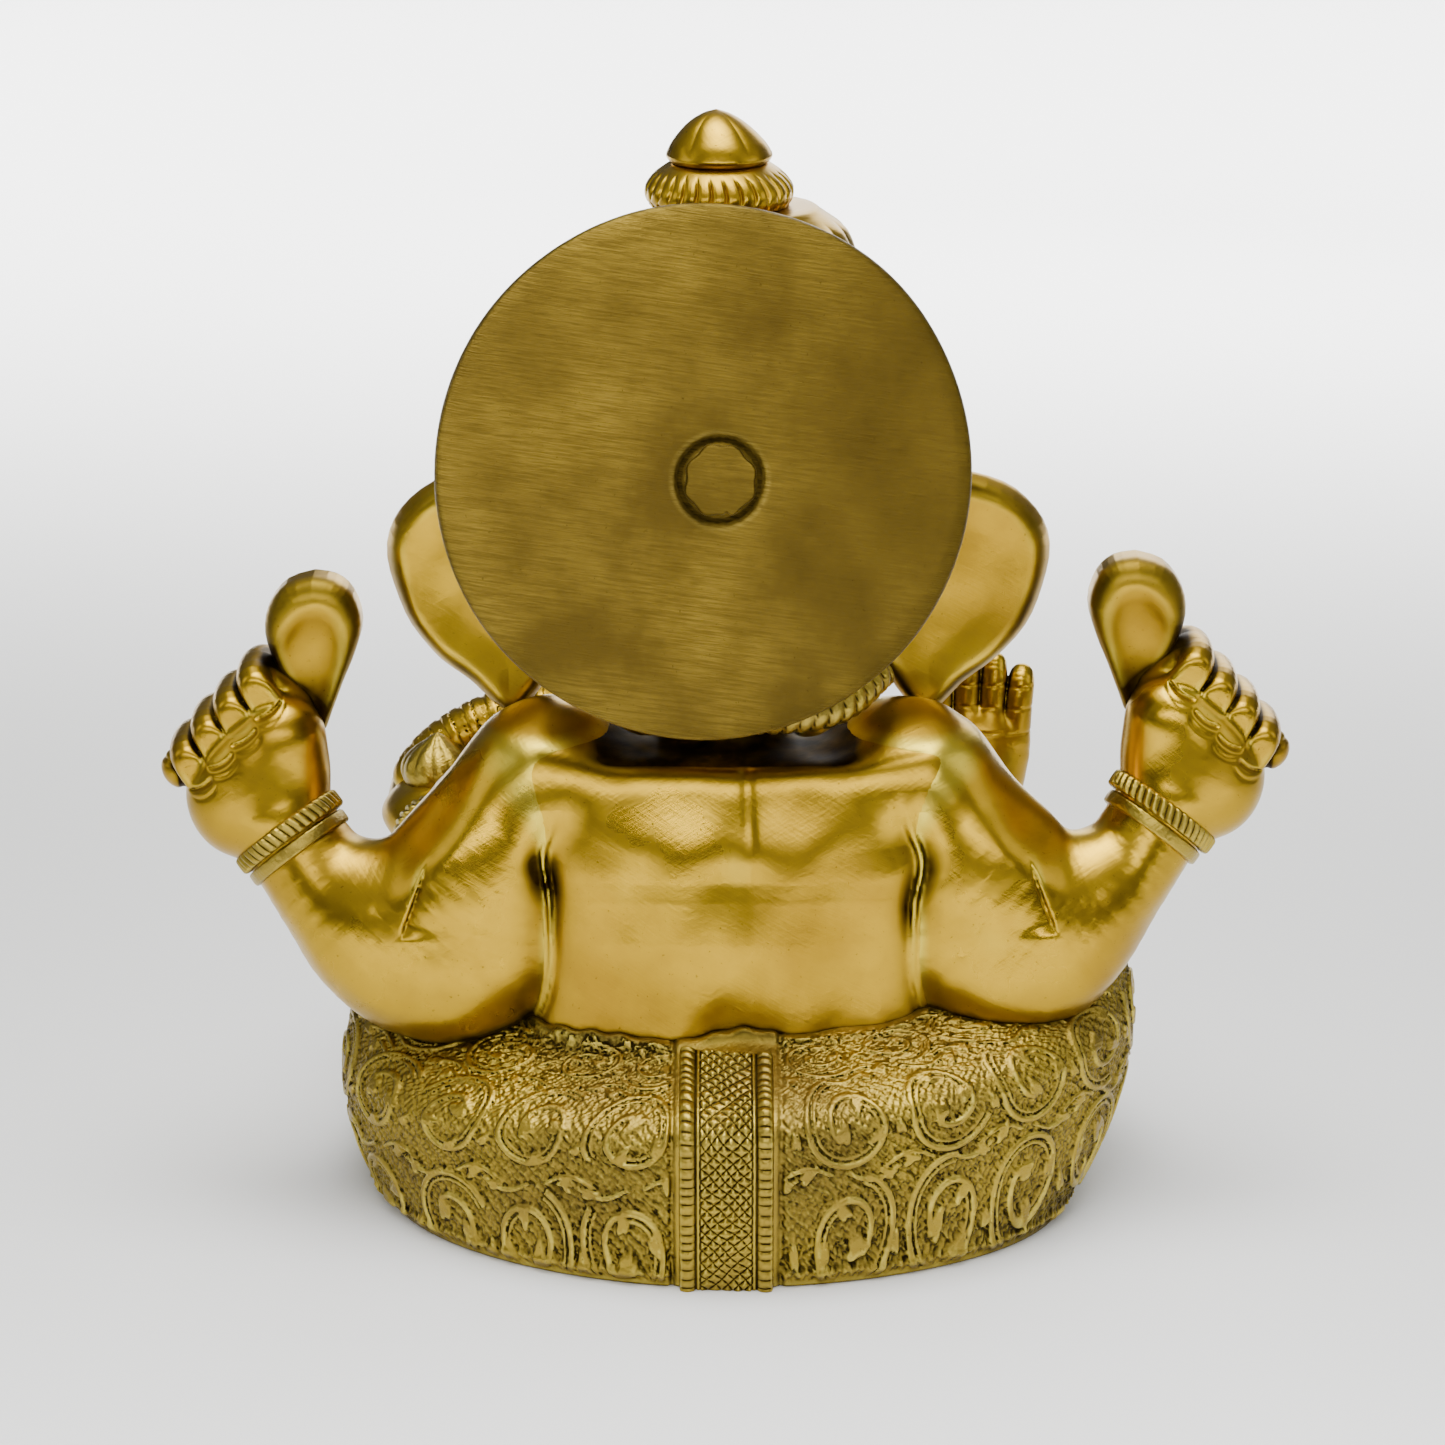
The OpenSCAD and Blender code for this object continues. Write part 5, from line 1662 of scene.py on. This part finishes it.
def uneven(a, seed, size):
    """A slow wander round a hand-cut rim."""
    rng = np.random.default_rng(seed)
    return size * sum(np.sin(k * a + rng.uniform(0, 6.28)) / k ** 0.7 for k in range(2, 9))


def make_halo():
    half = HALO_T / 2
    rim = curve_points([[HALO_R - 0.35, -half + 0.15], [HALO_R, -half + 0.8], [HALO_R, half - 0.9],
                        [HALO_R - 0.3, half - 0.25]], 4)
    start, end = [[0, -half], [HALO_R - 0.8, -half]], [[HALO_R - 1.1, half - 0.02], [0, half]]
    profile = dense_profile(np.concatenate([start, rim, end]), 0.45)

    def cut(r, h, a):
        x, y = r * np.cos(a) - RIVET_X, r * np.sin(a) - RIVET_Y
        rho = np.hypot(x, y)
        front = step(h, 0.0, half * 0.9)
        behind = 1 - step(h, -half * 0.9, 0.0)
        dish = 0.7 * np.exp(-((rho - 6.15) / 0.6) ** 2) + 0.14 * (1 - step(rho, 6.5, 9.5))
        bevel = 0.22 * step(r, HALO_R - 2.6, HALO_R - 0.8)
        rays = 0.3 * np.abs(np.cos(a * 18)) * step(r, 24, 27) * (1 - step(r, 37.5, 38.5))
        h = h - front * (dish + bevel + 0.05 * uneven(a, 4, 1.0) * step(r, 10, 40)) - behind * rays
        return r + uneven(a, 2, 0.13) * step(r, 20, 40), h

    finish(turned_piece("halo_sheet", profile, halo_world, 480, cut), "halo_disc", "sanded_brass")


def make_rivet():
    top = HALO_T / 2
    profile = dense_profile(curve_points([
        [0, -top - 12], [3.3, -top - 12], [3.5, -top - 11], [3.5, top - 0.9],
        [RIVET_HEAD_R - 0.5, top - 0.35], [RIVET_HEAD_R, top + 0.15], [RIVET_HEAD_R - 0.25, top + 0.6],
        [RIVET_HEAD_R - 0.8, top + 0.8], [0, top + 0.84]], 5), 0.4)

    def hammered(r, h, a):
        head = step(h, top - 1, top - 0.2)
        flats = 1 - 0.04 * (1 + np.cos(8 * a + 0.6)) - 0.014 * np.cos(3 * a + 1)
        notch = 0.5 * np.exp(-(((a - 1.75) / 0.09) ** 2)) * step(r, 4.4, 5.2)
        dents = 0.07 * np.sin(r * 1.1 * np.cos(a - 0.4))
        return r * (1 + (flats - 1) * head) - notch * head, h - head * dents

    place = lambda q: halo_world(q + vec(RIVET_X, RIVET_Y, 0))
    finish(turned_piece("halo_rivet_head", profile, place, 240, hammered), "halo_rivet", "sanded_brass")


# ---------------------------------------------------------------- pieces inside

def finish_hidden():
    """The pegs, spigot and tenon stay as they are in the frame, in the same brass."""
    for name in ("arm_pegs", "neck_spigot", "crown_tenon"):
        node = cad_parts[name]
        if not node.material_slots:
            node.data.materials.append(WORN)
        for place in node.material_slots:
            place.material = WORN


# ---------------------------------------------------------------- floor, light and camera

def make_floor():
    """A plain pale floor, flat and wide enough to fill every view."""
    run = np.linspace(-3000, 3000, 25)
    x, y = np.meshgrid(run, run, indexing="ij")
    points = np.stack([x.ravel(), y.ravel(), np.zeros(x.size)], 1)
    quads = grid_faces(25, 25, wrap_columns=False)
    floor = new_mesh("studio_floor", points, quads)
    material = bpy.data.materials.new("pale_floor")
    material.use_nodes = True
    nodes, links = material.node_tree.nodes, material.node_tree.links
    shader = nodes["Principled BSDF"]
    shader.inputs["Roughness"].default_value = 0.9
    noise = nodes.new("ShaderNodeTexNoise")
    noise.inputs["Scale"].default_value = 3.0
    ramp = nodes.new("ShaderNodeMapRange")
    ramp.inputs["To Min"].default_value = 0.90
    ramp.inputs["To Max"].default_value = 0.93
    links.new(noise.outputs["Fac"], ramp.inputs["Value"])
    links.new(ramp.outputs["Result"], shader.inputs["Base Color"])
    floor.data.materials.append(material)


def aimed(obj, place, target):
    """Puts a light or camera at a place in design millimetres, looking at a target."""
    start, end = Vector(to_metres(place)), Vector(to_metres(target))
    obj.location = start
    obj.rotation_euler = (end - start).to_track_quat("-Z", "Y").to_euler()
    bpy.context.collection.objects.link(obj)


def softbox(name, place, target, width, height, power, spread=180):
    light = bpy.data.lights.new(name, "AREA")
    light.shape = "RECTANGLE"
    light.size, light.size_y = width * MM, height * MM
    light.energy = power
    light.spread = math.radians(spread)
    aimed(bpy.data.objects.new(name, light), place, target)


WORLD_RAMP = (0.0, 0.8, 0.06, 0.36)      # height from, height to, strength from, strength to


def make_light():
    """A dim room, brighter overhead, with a pool of soft light on the figure and a lit sweep beyond it."""
    world = bpy.data.worlds.new("studio")
    world.use_nodes = True
    nodes, links = world.node_tree.nodes, world.node_tree.links
    background = nodes["Background"]
    place = nodes.new("ShaderNodeTexCoord")
    split = nodes.new("ShaderNodeSeparateXYZ")
    ramp = nodes.new("ShaderNodeMapRange")
    for i, number in enumerate(WORLD_RAMP):
        ramp.inputs[i + 1].default_value = number
    links.new(place.outputs["Generated"], split.inputs[0])
    links.new(split.outputs["Z"], ramp.inputs[0])
    links.new(ramp.outputs[0], background.inputs["Strength"])
    background.inputs["Color"].default_value = (0.97, 1.0, 0.92, 1)
    bpy.context.scene.world = world
    middle = (0, 0, 80)
    softbox("top_box", (0, 80, 520), (0, 80, 0), 440, 400, 1.0, 70)
    softbox("near_box", (0, 280, 300), (0, 280, 0), 900, 190, 1.7, 64)
    softbox("high_box", (0, 720, 440), middle, 900, 180, 2.2, 150)
    softbox("left_box", (620, 120, 380), middle, 360, 400, 0.3, 120)
    softbox("right_box", (-620, 120, 380), middle, 360, 400, 0.3, 120)
    softbox("front_box", (-200, -700, 360), middle, 520, 420, 3)
    softbox("far_box", (0, -1150, 1000), (0, -1150, 0), 2600, 1300, 60, 62)


CAMERA_ELEVATION = 18.0
CAMERA_DISTANCE = 650.0
CAMERA_TARGET = (0, 0, 78.6)


def make_camera():
    lift = math.radians(CAMERA_ELEVATION)
    target = vec(*CAMERA_TARGET)
    place = target + CAMERA_DISTANCE * vec(0, math.cos(lift), math.sin(lift))
    data = bpy.data.cameras.new("main_camera")
    data.lens, data.sensor_width = 100, 36
    data.clip_end = 20
    camera = bpy.data.objects.new("main_camera", data)
    aimed(camera, place, target)
    bpy.context.scene.camera = camera


# ---------------------------------------------------------------- everything, from the floor up

make_floor()
make_light()
make_camera()
make_lap()
make_sash()
make_feet()
make_anklets()
make_torso()
make_belly_belt()
make_sacred_thread()
make_necklace()
make_nape_roll()
make_arms()
make_hands()
make_bangles()
make_sweet()
make_head()
make_tusks()
make_crown_roll()
make_crown()
make_jewel()
make_collar()
make_bud()
make_halo()
make_rivet()
finish_hidden()
